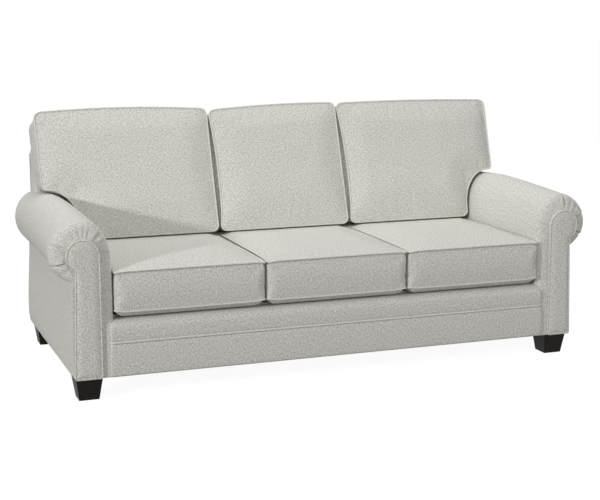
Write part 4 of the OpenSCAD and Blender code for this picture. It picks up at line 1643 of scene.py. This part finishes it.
@dataclass
class RolledArm:
    """One arm: the cover over its roll and inside face, the outside arm and the front panel."""

    side: Side
    pleats: tuple[Pleat, ...]
    low_z: float = 268.0
    strip_z: float = 83.0
    strip_proud: float = 12.5
    edge_roll: float = 34.0
    edge_strip: float = 20.0
    rear_edge: float = 24.0
    # How far the base stands in under the outside arm.
    base_in: float = 28.0
    # Points round the front edge, along the roll and round the rear edge.
    steps: tuple[int, int, int] = (22, 78, 9)
    # The roll is fuller just behind the panel: by how much, how far back and over what length.
    head_full: Triple = (6.0, 40.0, 60.0)
    dent_sizes: Pair = (150.0, 62.0)
    dent_h: float = 1.6
    # Height of the middle of the cover's closed ends.
    cap_z: float = 470.0
    # How far the outside arm's rear swells out at each height.
    swell_z: tuple[float, ...] = (83, 93, 131, 200, 280, 384, 430, 446)
    swell_out: tuple[float, ...] = (4, 8, 12, 11, 7, 1.5, 0, 0)
    panel_corner: float = 6.0
    # Inset of each ring of the panel's side, and its distance behind the front where it bends.
    panel_bend: tuple[Pair, ...] = ((0.8, 7.5), (1.8, 5.6))
    panel_swell: float = 7.0
    panel_welt_r: float = 3.0

    def shares(self, y: Array) -> Array:
        """The roll's shares, smoothed between the measured ones.

        Args:
            y: Places along the arm.

        Returns:
            The five shares at each place as rows.
        """
        fine = np.linspace(0.0, 1.0, 401)
        window = 45
        kernel = np.hanning(window)
        kernel /= kernel.sum()
        length = S.y_rear - S.y_arm
        columns = []
        for k in range(1, 6):
            line = np.interp(fine, ROLL_SHARES[:, 0], ROLL_SHARES[:, k])
            line = np.convolve(np.pad(line, window // 2, mode="edge"), kernel, mode="valid")
            columns.append(np.interp((y - S.y_arm) / length, fine, line))
        return np.stack(columns, axis=-1)

    def section(self, y: float, low: float) -> Array:
        """Section of the arm's cover at y, from low on the inside, over the roll, to the outside.

        Args:
            y: Place along the arm.
            low: Height at which it starts.

        Returns:
            Points (x, z) as rows, on the right-hand side.
        """
        drop, across, inner, outer, reach = self.shares(np.array([y]))[0]
        rise = S.arm_h - S.join_h
        cx, top = S.x_in + S.arm_w * across, S.arm_h - rise * drop
        zi, zo = S.join_h + rise * inner, S.join_h + rise * outer
        full, behind, length = self.head_full
        a = S.x_out + S.roll_out * reach - cx + full * math.exp(-(((y - S.y_arm - behind) / length) ** 2))
        turn = math.degrees(math.acos((S.x_out - cx) / a))
        b = (zo - S.join_h) / math.sin(math.radians(turn))
        upright = at(S.x_in, np.linspace(low, zi, 31))
        return np.concatenate([
            upright[:-1],
            arc(cx, zi, cx - S.x_in, top - zi, 180, 90, 60)[:-1],
            arc(cx, zo, a, top - zo, 90, 0, 60)[:-1],
            arc(cx, zo, a, b, 0, -turn, 46),
        ])

    def stile_x(self, z: Array) -> Array:
        """Outer edge of the panel's stile."""
        return S.x_out - S.panel_neck * (z - S.leg_h) / (S.head_h - S.leg_h)

    def rim(self, section: Array) -> Array:
        """The line on the panel's edge that the cover is drawn to, point for point.

        Args:
            section: The cover's section behind the front.

        Returns:
            Points (x, z) as rows.
        """
        tuck = 5.0
        r = S.head_r - tuck
        low = 30
        z = np.minimum(section[:low, 1], S.head_h)
        neck = np.linspace(466.0, S.join_h, 10)
        upright = at(S.head_x - r, z)
        over = arc(S.head_x, S.head_h, r, r, 180, 0, 121)
        bottom = np.concatenate([
            arc(S.head_x, S.head_h, r, r, 0, -62, 20), at(self.stile_x(neck) - tuck, neck),
        ])
        count = len(section) - low - 47
        return np.concatenate([upright, resampled(over, count)[:-1], resampled(bottom, 46)])

    def gather(self, angle: Array, run: Array) -> Array:
        """Depth of the pleats.

        Args:
            angle: Angle of each point round the panel's head, in degrees.
            run: Distance of each point from the panel's rim along the cloth.

        Returns:
            How far each point sinks in.
        """
        depth = np.zeros_like(angle)
        for pleat in self.pleats:
            line = angle - pleat.at - pleat.lean * run / 40.0
            across = line * math.radians(1.0) * (S.head_r + 0.5 * run)
            fade = np.exp(-(run / pleat.long) ** 2.4)
            width = pleat.wide * (1.0 + np.where(across > 0, 1.0, -0.62) * pleat.lap)
            width = np.maximum(width, 0.38 * pleat.wide)
            puff = (across + 1.7 * pleat.wide * (pleat.lap or 1)) / (1.4 * pleat.wide)
            depth += pleat.deep * fade * (np.exp(-((across / width) ** 2)) - 0.4 * np.exp(-(puff**2)))
        return depth

    def cloth(self) -> tuple[Array, Array]:
        """The smooth cloth over the roll and the inside arm, on the right-hand side.

        Returns:
            Its points from front to rear as rows, and their distance from the rim along it.
        """
        front = self.section(S.y_arm + self.edge_roll, self.low_z)
        rim = self.rim(front)
        upright = np.where(front[:, 0] < S.head_x, smooth_step((front[:, 1] - S.join_h) / 70.0), 1.0)
        edge = self.edge_strip + (self.edge_roll - self.edge_strip) * upright
        bend = 2.0 / (2.9 - 0.7 * upright)
        front_steps, run_steps, rear_steps = self.steps
        rows = []
        for t in np.radians(np.linspace(0.0, 90.0, front_steps)):
            flat = rim + (front - rim) * (math.sin(t) ** bend)[:, None]
            y = S.y_arm + edge - (edge + 1.5) * max(math.cos(t), 0.0) ** bend
            rows.append(at(flat[:, 0], y, flat[:, 1]))
        start, last = S.y_arm + self.edge_roll, S.y_rear - self.rear_edge
        for y in start + (last - start) * np.linspace(0.0, 1.0, run_steps)[1:] ** 1.25:
            section = self.section(float(y), self.low_z)
            place = y + (edge - self.edge_roll) * (1.0 - smooth_step((y - S.y_arm) / 160.0))
            rows.append(at(section[:, 0], place, section[:, 1]))
        steps = np.linalg.norm(np.diff(np.stack(rows), axis=0), axis=2)
        run = np.cumsum(steps, axis=0)
        middle, end = np.array([S.head_x, S.y_rear, S.head_h]), rows[-1]
        turns = np.radians(np.linspace(0.0, 90.0, rear_steps))[1:]
        for t in turns:
            shrink = 1.0 - 0.12 * (1.0 - math.cos(t))
            row = middle + (end - middle) * (shrink, 1.0, shrink)
            row[:, 1] = last + self.rear_edge * math.sin(t)
            row[:, 0] = np.where(end[:, 0] < S.x_in + 1, S.x_in, row[:, 0])
            rows.append(row)
        run = np.concatenate([0.0 * run[:1], run, np.repeat(run[-1:], len(turns), axis=0)])
        return np.stack(rows), run

    def gathered(self, grid: Array, run: Array) -> Array:
        """The cloth with its gathers and dents.

        Args:
            grid: Its points as rows.
            run: Their distance from the rim.

        Returns:
            The points after that.
        """
        angle = np.degrees(np.arctan2(grid[..., 2] - S.head_h, grid[..., 0] - S.head_x))
        normal = np.cross(np.gradient(grid, axis=0), np.gradient(grid, axis=1))
        normal /= np.maximum(np.linalg.norm(normal, axis=2, keepdims=True), 1e-9)
        outward = grid - np.array([S.head_x, 0.0, S.head_h - 30.0])
        outward[..., 1] = np.where(grid[..., 1] < 0, -80.0, 0.0)
        normal *= np.sign((normal * outward).sum(axis=2, keepdims=True) + 1e-9)
        free = smooth_step((grid[..., 2] - S.join_h - 4.0) / 26.0) * smooth_step((run - 3.0) / 24.0)
        sunk = self.gather(angle, run) * free
        sign = self.side.value
        soft = finer_dents(grid, self.dent_sizes, (3.0 + sign, 8.0 + sign), 0.6)
        soft *= self.dent_h * smooth_step((grid[..., 2] - S.join_h - 60.0) / 60.0) * (grid[..., 1] < 440.0)
        return grid - normal * (sunk - soft)[..., None]

    def cover(self) -> None:
        """The cover over the roll and the inside arm, closed underneath and at its ends."""
        grid = self.gathered(*self.cloth())
        grid[..., 0] *= self.side.value
        cover = Cover(f"arm_cover_{self.side.word}")
        ids = cover.grid(grid)
        base, inner = grid[:, -1].copy(), grid[:, 0].copy()
        inner[:, 2] = base[:, 2] = np.minimum(base[:, 2], self.low_z)
        base[:, 0] -= self.side.value * self.base_in
        base[:, 1] = base[:, 1].clip(S.y_arm + 8.0, S.y_rear - 30.0)
        middle = (base + inner) / 2
        mid, foot = cover.points(middle), cover.points(base)
        under = np.stack([grid[:, -1], base, middle, grid[:, 0]])
        cover.quads(np.stack([ids[:, -1], foot, mid, ids[:, 0]]), cloth_uv(under))
        for number, y in ((0, S.y_arm + 4.0), (-1, S.y_rear)):
            ring = np.concatenate([ids[number], [foot[number], mid[number]]])
            cover.fan(ring, np.array([S.head_x * self.side.value, y, self.cap_z]))
        sewn(cover, f"arm_roll_{self.side.word}", f"inside_arm_{self.side.word}", sharp=70.0)

    def strip(self) -> None:
        """The lower front strip of the arm, between the band's end and the panel."""
        low, top = self.strip_z, self.low_z + 60.0
        z = np.concatenate([[low, low + 0.5], np.linspace(low + 3, top, 30)])
        x0, x1, front = S.x_in + 4.0, S.x_out - 8.0, S.y_arm - self.strip_proud
        path = resampled(np.concatenate([
            [[x0 + 2, S.y_arm + 40]], arc(x0 + 14, front + 14, 14, 14, 180, 270, 8), [[x1, front]],
        ]), 40)
        grid = np.stack([
            at(path[:, 0] * self.side.value, path[:, 1] + first + 16.0 * step_at(h, top - 70.0, top), h)
            for h, first in zip(z, [3.0] + [0.0] * 31)
        ])
        back = grid[:, ::-1].copy()
        back[..., 1] = S.y_arm + 42.0
        cover = Cover(f"arm_strip_{self.side.word}")
        middle = (x0 + x1) / 2 * self.side.value
        cover.tube(np.concatenate([grid, back], axis=1), [
            np.array([middle, S.y_arm + 21.0, h]) for h in (low + 3, top)
        ])
        sewn(cover, sharp=50.0)

    def outside(self) -> None:
        """The outside arm, a little fuller towards its rear foot."""
        heights = np.concatenate([[83.0, 83.4, 85.0, 88.0], np.linspace(94.0, 446.0, 44)])
        rolled = np.concatenate([[7.0, 3.0, 1.0, 0.2], np.zeros(44)])
        bulge_z = np.interp(heights, self.swell_z, self.swell_out)
        x, y0, y1, r = S.x_out, S.y_arm, S.y_rear, 12.0
        path = resampled(np.concatenate([
            [[x - 46, y0 + 2.0]], arc(x - 6, y0 + 8, 6, 6, 270, 360, 6),
            arc(x - r, y1 - r, r, r, 0, 90, 8), [[S.x_wing - 30.0, y1]],
        ]), 110)
        along = smooth_step((path[:, 1] - y0) / (y1 - y0)) * (path[:, 1] < y1 + 1)
        rows = []
        for h, inward, bulge in zip(heights, rolled, bulge_z):
            soft = 1.2 * swell(path[:, 1] - y0, 80.0) * swell(h - S.leg_h, 60.0)
            outward = bulge * along + soft - inward
            px = path[:, 0] + np.where(path[:, 0] > x - 20, outward, 0.0)
            py = path[:, 1] - np.where(path[:, 1] > y1 - 8, inward, 0.0)
            rows.append(at(px, py, h))
        grid = np.stack(rows)
        grid[..., 0] += 0.9 * dents(grid, 130.0, 21.0) * (grid[..., 0] > x - 20)
        grid[..., 0] *= self.side.value
        back = grid.copy()
        inner = (np.abs(back[..., 0]) - 9.0).clip(S.x_wing - 34, S.x_out - 9)
        back[..., 0] = np.sign(back[..., 0]) * inner
        back[..., 1] = back[..., 1].clip(y0 + 9.0, y1 - 9.0)
        cover = Cover(f"outside_arm_cover_{self.side.word}")
        cover.skin(grid, back)
        sewn(cover, f"outside_arm_{self.side.word}", sharp=50.0)

    def panel_outline(self, inset: float) -> Array:
        """The keyhole outline of the panel.

        Args:
            inset: How far it is drawn in.

        Returns:
            Points (x, z) once round as rows, on the right-hand side.
        """
        r, turn = S.head_r - inset, self.panel_corner
        x0, x1, low = S.x_out - S.panel_w + inset, S.x_out - inset, S.leg_h + inset
        z = np.linspace(low + turn, 468.0, 40)
        stile, head = at(self.stile_x(z) - inset, z), arc(S.head_x, S.head_h, r, r, -56, 180, 70)
        neck = resampled(np.stack([stile[-1], head[0]]), 4)
        middle = [[(x0 + x1) / 2, low]]
        line = np.concatenate([
            middle, arc(x1 - turn, low + turn, turn, turn, 270, 360, 5), stile, neck[1:-1], head,
            arc(x0 + turn, low + turn, turn, turn, 180, 270, 5), middle,
        ])
        return resampled(line, 300)[:-1]

    def panel(self) -> None:
        """The padded front panel with its rounded front and the welt round it."""
        y0, y1 = S.y_arm + 1.0, S.y_front
        rings = [(0.6, y0), (0.6, y0 - 6), (0.3, y0 - 12)]
        rings += [(inset, y1 + behind) for inset, behind in self.panel_bend]
        rim_in, rim_y = rings[-1]
        rows = []
        for inset, y in rings:
            line = self.panel_outline(inset)
            rows.append(at(line[:, 0], y, line[:, 1]))
        rim = self.panel_outline(rim_in)
        spine = at(S.head_x - 8.0, np.clip(rim[:, 1], S.leg_h + 46.0, S.head_h))
        spine[:, 0] += 8.0 * smooth_step((spine[:, 1] - 440.0) / 80.0)
        for share in np.linspace(0.0, 0.98, 15)[1:]:
            spot = rim + (spine - rim) * share
            rows.append(at(spot[:, 0], rim_y - self.panel_swell * swell(share, 0.62, 2.2), spot[:, 1]))
        grid = np.stack(rows)
        full = np.linspace(0, 1, len(rows) - 4)[:, None]
        grid[4:, :, 1] -= 0.8 * dents(grid[4:], 90.0, 31.0 + self.side.value) * full
        grid[..., 0] *= self.side.value
        cover = Cover(f"panel_cover_{self.side.word}")
        ids = closed(cover.points(grid))
        around = closed(grid)
        uv = around[..., [0, 2]] + 0.7 * (around[..., 1:2] - y1)
        cover.quads(ids, uv)
        half = len(rim) // 2 + 1
        for row in (0, -1):
            left, right = ids[row, :half], np.roll(ids[row, :-1], 1 - half)[:half][::-1]
            cover.quads(np.stack([left, right]), np.stack([uv[row, :half], uv[row, :half]]))
        sewn(cover, f"front_panel_{self.side.word}")
        line = self.panel_outline(2.2)
        path = at(line[:, 0] * self.side.value, y1 + 4.8, line[:, 1])
        cord(f"panel_welt_{self.side.word}", path, self.panel_welt_r, BODY_CLOTH)

    def build(self) -> None:
        """Makes the arm's pieces."""
        self.cover()
        self.strip()
        self.outside()
        self.panel()


# Front of the seat


def bolster(
    name: str, profile: Array, half: float, end_r: float, back: float, seed: float, uneven: float,
    corner_r: float = 3.0,
) -> Cover:
    """A long padded piece across the sofa with softly rounded ends.

    Args:
        name: Name of the piece.
        profile: Closed section (y, z), without its first point again.
        half: Half its length.
        end_r: Radius of its ends.
        back: The y that the ends are rounded towards.
        seed: Offset of its unevenness.
        uneven: Height of its unevenness.
        corner_r: Radius of its two upper corners seen from the front.

    Returns:
        The piece's cover.
    """
    xs, depth = rounded_ends(half, end_r, 110, 8)
    across, z = profile.T
    rows = []
    for x, share in zip(xs, depth):
        past = np.clip((abs(x) - (half - corner_r)) / corner_r, 0.0, 1.0)
        drop = corner_r * (1.0 - math.sqrt(1.0 - past**2 * ALMOST_ONE))
        lower = drop * np.clip((z - z.mean()) / (z.max() - z.mean()), 0.0, 1.0)
        rows.append(at(x, back + (across - back) * share, z - lower))
    grid = np.stack(rows)
    grid[..., 1] -= uneven * dents(grid, 140.0, seed) * (grid[..., 1] < back - 4.0)
    cover = Cover(name)
    cover.tube(grid, (grid[0].mean(axis=0), grid[-1].mean(axis=0)))
    return cover


@dataclass
class SeatFront:
    """The padded border, the welt under it and the band below."""

    border_r: float = 30.0
    proud: float = 4.0
    deck_front: float = -398.0

    @property
    def face(self) -> float:
        """Front of the border and the band."""
        return S.y_front + self.proud

    def border(self) -> None:
        """Padded border over the front rail, with a full rounded top."""
        low, top, r = S.welt_h + S.welt_d / 2 - 3.0, S.deck_h - 5.0, self.border_r
        f, rear = self.face, self.deck_front + 6.0
        profile = looped(np.concatenate([
            [[S.y_arm + 6.0, low], [f + 5.0, low], [f + 1.2, low + 5]],
            [[f - 1.0, low + 18], [f - 1.6, low + 34]],
            arc(f + r, top - r, r + 1.2, r, 180, 90, 12),
            [[f + r + 14, top], [rear, top - 0.5], [rear, top - 24], [S.y_arm + 20.0, top - 30.0]],
        ]), 72)
        cover = bolster("border_cover", profile, S.band_x, 9.0, S.y_arm + 8.0, 41.0, 1.0, 22.0)
        sewn(cover, "front_border")

    def band(self) -> None:
        """Flat band from the welt down to the body's lower edge."""
        low, top, f = S.leg_h + 0.3, S.welt_h - S.welt_d / 2 + 3.0, self.face
        profile = looped(np.array([
            [S.y_arm + 4.0, low + 2.0], [f + 6, low], [f + 3, low + 0.6], [f + 1.2, low + 3],
            [f + 0.4, low + 9], [f - 0.8, low + 34], [f - 1.0, (low + top) / 2], [f - 0.4, top - 26],
            [f + 1.2, top - 8], [f + 5, top], [S.y_arm + 4.0, top],
        ]), 60)
        sewn(bolster("band_cover", profile, S.band_x, 6.0, S.y_arm + 2.0, 47.0, 0.7), "front_band")

    def welt(self) -> None:
        """Welt cord across the front between border and band."""
        xs, r = np.linspace(-S.band_x + 3, S.band_x - 3, 240), S.welt_d / 2
        turn = np.clip((np.abs(xs) - (S.band_x - 14)) / 11.0, 0.0, 1.0)
        path = at(xs, S.y_front + r + 9.0 * turn**2, S.welt_h)
        path[:, 2] += 0.5 * dents(path, 160.0, 51.0)
        # The front welt uses the weave painted lighter, a painted highlight.
        cord("front_welt_cord", path, r, WELT_CLOTH_PAINTED_LIGHTER, True, nodes=("front_welt",))

    def build(self) -> None:
        """Makes the three pieces."""
        self.border()
        self.band()
        self.welt()


# Back


@dataclass
class PaddedBack:
    """The inside back with its rounded top, and the outside back behind it."""

    front_r: float = 30.0
    rear_r: float = 25.0
    floor_z: float = 268.0
    skin: float = 8.0
    end_r: float = 22.0

    @property
    def seam(self) -> float:
        """Height of the seam between the two at the rear."""
        return S.back_h - self.rear_r - 5.0

    def inside(self) -> None:
        """Inside back with its wings over the arms and its rounded top."""
        lean, r, rr = math.cos(math.radians(S.back_lean)), self.front_r, self.rear_r
        z0, z1 = S.back_h - r, S.back_h - rr
        front_z = np.linspace(S.wing_h, z0, 22)
        rear, inner = S.y_rear - 0.5, S.y_rear - self.skin
        upper = looped(np.concatenate([
            at(S.face_y(front_z), front_z)[:-1],
            arc(S.face_y(z0) + r / lean, z0, r / lean, r, 180 - S.back_lean * 0.6, 90, 12),
            arc(S.y_rear - rr, z1, rr, rr, 90, 0, 10),
            [[rear, self.seam], [inner, self.seam], [inner, S.wing_h]],
        ]), 96)
        xs, depth = rounded_ends(S.x_wing, self.end_r, 90, 10)
        middle = (upper.max(axis=0) + upper.min(axis=0)) / 2
        rows = []
        for x, share in zip(xs, depth):
            spot = middle + (upper - middle) * (1.0 - 0.9 * self.end_r * (1.0 - share) / 75.0)
            rows.append(at(x, spot[:, 0], spot[:, 1]))
        cover = Cover("inside_back_cover")
        cover.tube(np.stack(rows), (rows[0].mean(axis=0), rows[-1].mean(axis=0)))
        z = np.linspace(self.floor_z, S.wing_h + 12.0, 34)[:, None]
        lower = at(np.linspace(-S.x_in - 60.0, S.x_in + 60.0, 120)[None], S.face_y(z) - 0.5, z)
        lower[-1, :, 1] += 4.0
        cover.skin(lower, lower + (0.0, 14.0, 0.0))
        sewn(cover, "inside_back")

    def outside(self) -> None:
        """Outside back, a tight panel with soft edges."""
        half_w, half_h, mid = S.x_wing, (self.seam - S.leg_h) / 2, (self.seam + S.leg_h) / 2
        turns = (np.sin(np.linspace(-1.0, 1.0, n) * math.pi / 2) for n in (121, 71))
        u, v = np.meshgrid(*turns, indexing="ij")
        edge = np.minimum(half_w * (1 - np.abs(u)), half_h * (1 - np.abs(v)))
        y = S.y_rear - 4.0 + 4.0 * swell(edge, 7.0, 2.0) + 2.0 * swell(edge, 260.0, 2.0)
        grid = at(half_w * u, y, mid + half_h * v)
        grid[..., 1] += 1.1 * dents(grid, 210.0, 61.0) * swell(edge, 120.0)
        back = grid.copy()
        back[..., 1] = S.y_rear - self.skin
        cover = Cover("outside_back_cover")
        cover.slab(grid, back)
        sewn(cover, "outside_back")

    def build(self) -> None:
        """Makes both pieces."""
        self.inside()
        self.outside()


# Sheets and hidden parts


@dataclass
class FlatSheet:
    """A stretched sheet of cloth with a slight sag: the deck cloth or the dust cover."""

    name: str
    node: str
    rests_on: tuple[str, ...]
    finish: Finish
    half_w: float
    y0: float
    y1: float
    z: float
    thick: float
    sag: float = 0.0

    def build(self) -> None:
        xs, ys = np.linspace(-self.half_w, self.half_w, 90), np.linspace(self.y0, self.y1, 44)
        x, y = np.meshgrid(xs, ys, indexing="ij")
        edge = np.minimum(self.half_w - np.abs(x), np.minimum(y - self.y0, self.y1 - y))
        drop = self.sag * smooth_step((edge - 60.0) / 200.0)
        top = at(x, y, self.z - drop)
        top[..., 2] -= 0.3 * np.abs(dents(top, 120.0, 71.0)) * smooth_step(edge / 60.0)
        cover = Cover(self.name)
        cover.slab(top, top - (0.0, 0.0, self.thick))
        made = cover.made(self.finish)
        Piece(self.name, "sofa_body", (self.node,), "dark_cloth", None).placed(made)
        flat = (2 * self.half_w * MM, (self.y1 - self.y0) * MM)
        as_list(self.rests_on)


@dataclass
class HiddenFrame:
    """The solids that stay: feet, wood, springs, webbing, foam and zips get real finishes."""

    words: dict[str, str] = field(default_factory=lambda: {
        "foot": "espresso_wood", "arm_post": "plywood", "seat_springs": "spring_steel",
        "spring_clips": "zinc_steel", "hanger_bolts": "zinc_steel", "tee_nuts": "zinc_steel",
        "back_webbing": "jute_webbing", "core": "foam", "deck_pad": "foam", "zip": "zip",
        "dust_cover": "dark_cloth", "deck_cloth": "dark_cloth",
    })

    def dress(self) -> None:
        """Gives each carried-over solid the finish of its kind, and beech where it has no other."""
        for name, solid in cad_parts.items():
            slot = next((slot for word, slot in self.words.items() if word in name), "beech")
            solid.data.materials.clear()
            solid.data.materials.append(SLOT_FINISHES[slot].material())


# Studio


@dataclass
class Studio:
    """Floor, lamps, surrounding light and camera, in metres."""

    place: Triple = (-1.7929, -4.9464, 1.3736)
    yaw: float = -20.14
    pitch: float = -10.45
    roll: float = -0.10
    lens: float = 79.40
    ambient: float = 0.31
    # Half the width of the floor.
    floor_w: float = 40.0

    def camera(self) -> None:
        """Camera at the photograph's place and angle."""
        data = bpy.data.cameras.new("camera")
        data.lens, data.sensor_width = self.lens, 36.0
        camera = linked("camera", data)
        yaw, pitch, roll = (math.radians(a) for a in (self.yaw, self.pitch, self.roll))
        level = math.cos(pitch)
        ahead = Vector((-math.sin(yaw) * level, math.cos(yaw) * level, math.sin(pitch)))
        right = ahead.cross(Vector((0.0, 0.0, 1.0))).normalized()
        up = right.cross(ahead)
        c, s = math.cos(roll), math.sin(roll)
        right, up = right * c + up * s, up * c - right * s
        turned = Matrix((right, up, -ahead)).transposed().to_4x4()
        camera.matrix_world = Matrix.Translation(Vector(self.place)) @ turned
        bpy.context.scene.camera = camera

    def floor(self) -> None:
        """A wide floor that the sofa stands on."""
        mesh = bpy.data.meshes.new("floor")
        w = self.floor_w
        mesh.from_pydata([(-w, -w, 0), (w, -w, 0), (w, w, 0), (-w, w, 0)], [], [(0, 1, 2, 3)])
        mesh.materials.append(PaleFloor("studio_paper_matt").material())
        linked("floor", mesh)

    def lamp(self, name: str, place: Triple, aim: Triple, size: Pair, watts: float) -> None:
        """A soft rectangular lamp.

        Args:
            name: Its name.
            place: Where it stands, in metres.
            aim: What it points at.
            size: Width and height of its face.
            watts: Its power.
        """
        data = bpy.data.lights.new(name, "AREA")
        data.shape, data.size, data.size_y, data.energy = "RECTANGLE", size[0], size[1], watts
        data.color = (0.98, 0.99, 1.0)
        lamp = linked(name, data)
        lamp.location = place
        lamp.rotation_euler = (Vector(aim) - Vector(place)).to_track_quat("-Z", "Y").to_euler()

    def world(self) -> None:
        """Even light from all round, and white behind the floor's edge."""
        world = bpy.data.worlds.new("studio")
        world.use_nodes = True
        tree = world.node_tree
        tree.nodes.clear()
        inputs = {"Value": is_seen(tree), "To Min": self.ambient, "To Max": 1.0}
        strength = put_node(tree, "ShaderNodeMapRange", inputs=inputs).outputs["Result"]
        back = put_node(tree, "ShaderNodeBackground", inputs={"Color": WHITE, "Strength": strength})
        put_node(tree, "ShaderNodeOutputWorld", inputs={"Surface": back.outputs["Background"]})
        bpy.context.scene.world = world

    def build(self) -> None:
        """Sets up the studio."""
        self.camera()
        self.floor()
        self.world()
        self.lamp("lamp_over", (0.0, 0.5, 3.4), (0.0, 0.0, 0.4), (4.4, 2.4), 64.0)
        self.lamp("lamp_key", (-8.0, -3.83, 2.55), (-0.3, 0.0, 0.6), (0.4, 0.4), 380.0)
        self.lamp("lamp_fill", (1.2, -5.4, 1.6), (0.1, 0.0, 0.5), (4.0, 2.4), 88.0)
        bpy.context.scene.view_settings.view_transform = "Standard"


PLEATS_LEFT = tuple(Pleat(*row) for row in (
    (172.0, 6.0, 5.0, 52.0, 5.0, 1), (148.0, 3.5, 5.0, 40.0, 2.0), (127.0, 6.0, 5.0, 50.0, 3.0, 1),
    (108.0, 3.5, 4.0, 38.0), (96.0, 3.5, 3.6, 40.0), (84.0, 3.5, 3.6, 38.0), (68.0, 3.5, 5.0, 36.0),
    (48.0, 3.5, 6.0, 36.0), (26.0, 14.0, 3.4, 62.0, -3.0), (2.0, 3.0, 6.0, 34.0),
    (-23.0, 9.5, 4.0, 62.0, 3.0, -1), (-44.0, 3.0, 6.0, 36.0),
))
PLEATS_RIGHT = tuple(Pleat(*row) for row in (
    (182.0, 5.0, 6.0, 52.0, -7.0, 1), (150.0, 3.0, 6.0, 36.0), (128.0, 3.0, 5.0, 34.0),
    (108.0, 3.0, 5.0, 34.0), (82.0, 11.0, 3.6, 60.0, 2.0, -1), (62.0, 4.0, 5.0, 40.0),
    (44.0, 4.0, 5.0, 40.0), (22.0, 12.0, 3.6, 62.0, 0.0, -1), (0.0, 3.0, 6.0, 36.0),
    (-25.0, 12.0, 3.6, 62.0, 0.0, -1), (-46.0, 3.0, 6.0, 36.0),
))


def main() -> None:
    """Builds every piece of the sofa and its studio."""
    logging.basicConfig(level=logging.INFO, format="%(name)s: %(message)s")
    Studio().build()
    HiddenFrame().dress()
    for side, pleats in ((Side.LEFT, PLEATS_LEFT), (Side.RIGHT, PLEATS_RIGHT)):
        RolledArm(side, pleats).build()
    SeatFront().build()
    PaddedBack().build()
    FlatSheet(
        "deck_cloth_sheet", "deck_cloth", ("deck_pad",), DECK_CLOTH,
        half_w=S.x_in, y0=-398.0, y1=210.4, z=S.deck_h, thick=3.5,
    ).build()
    FlatSheet(
        "dust_cover_sheet", "dust_cover", ("front_rail", "rear_bottom_rail"), COVER_CLOTH,
        half_w=982.0, y0=-458.0, y1=476.0, z=84.9, thick=1.4, sag=5.0,
    ).build()
    Cushions().build()


if __name__ == "__main__":
    main()
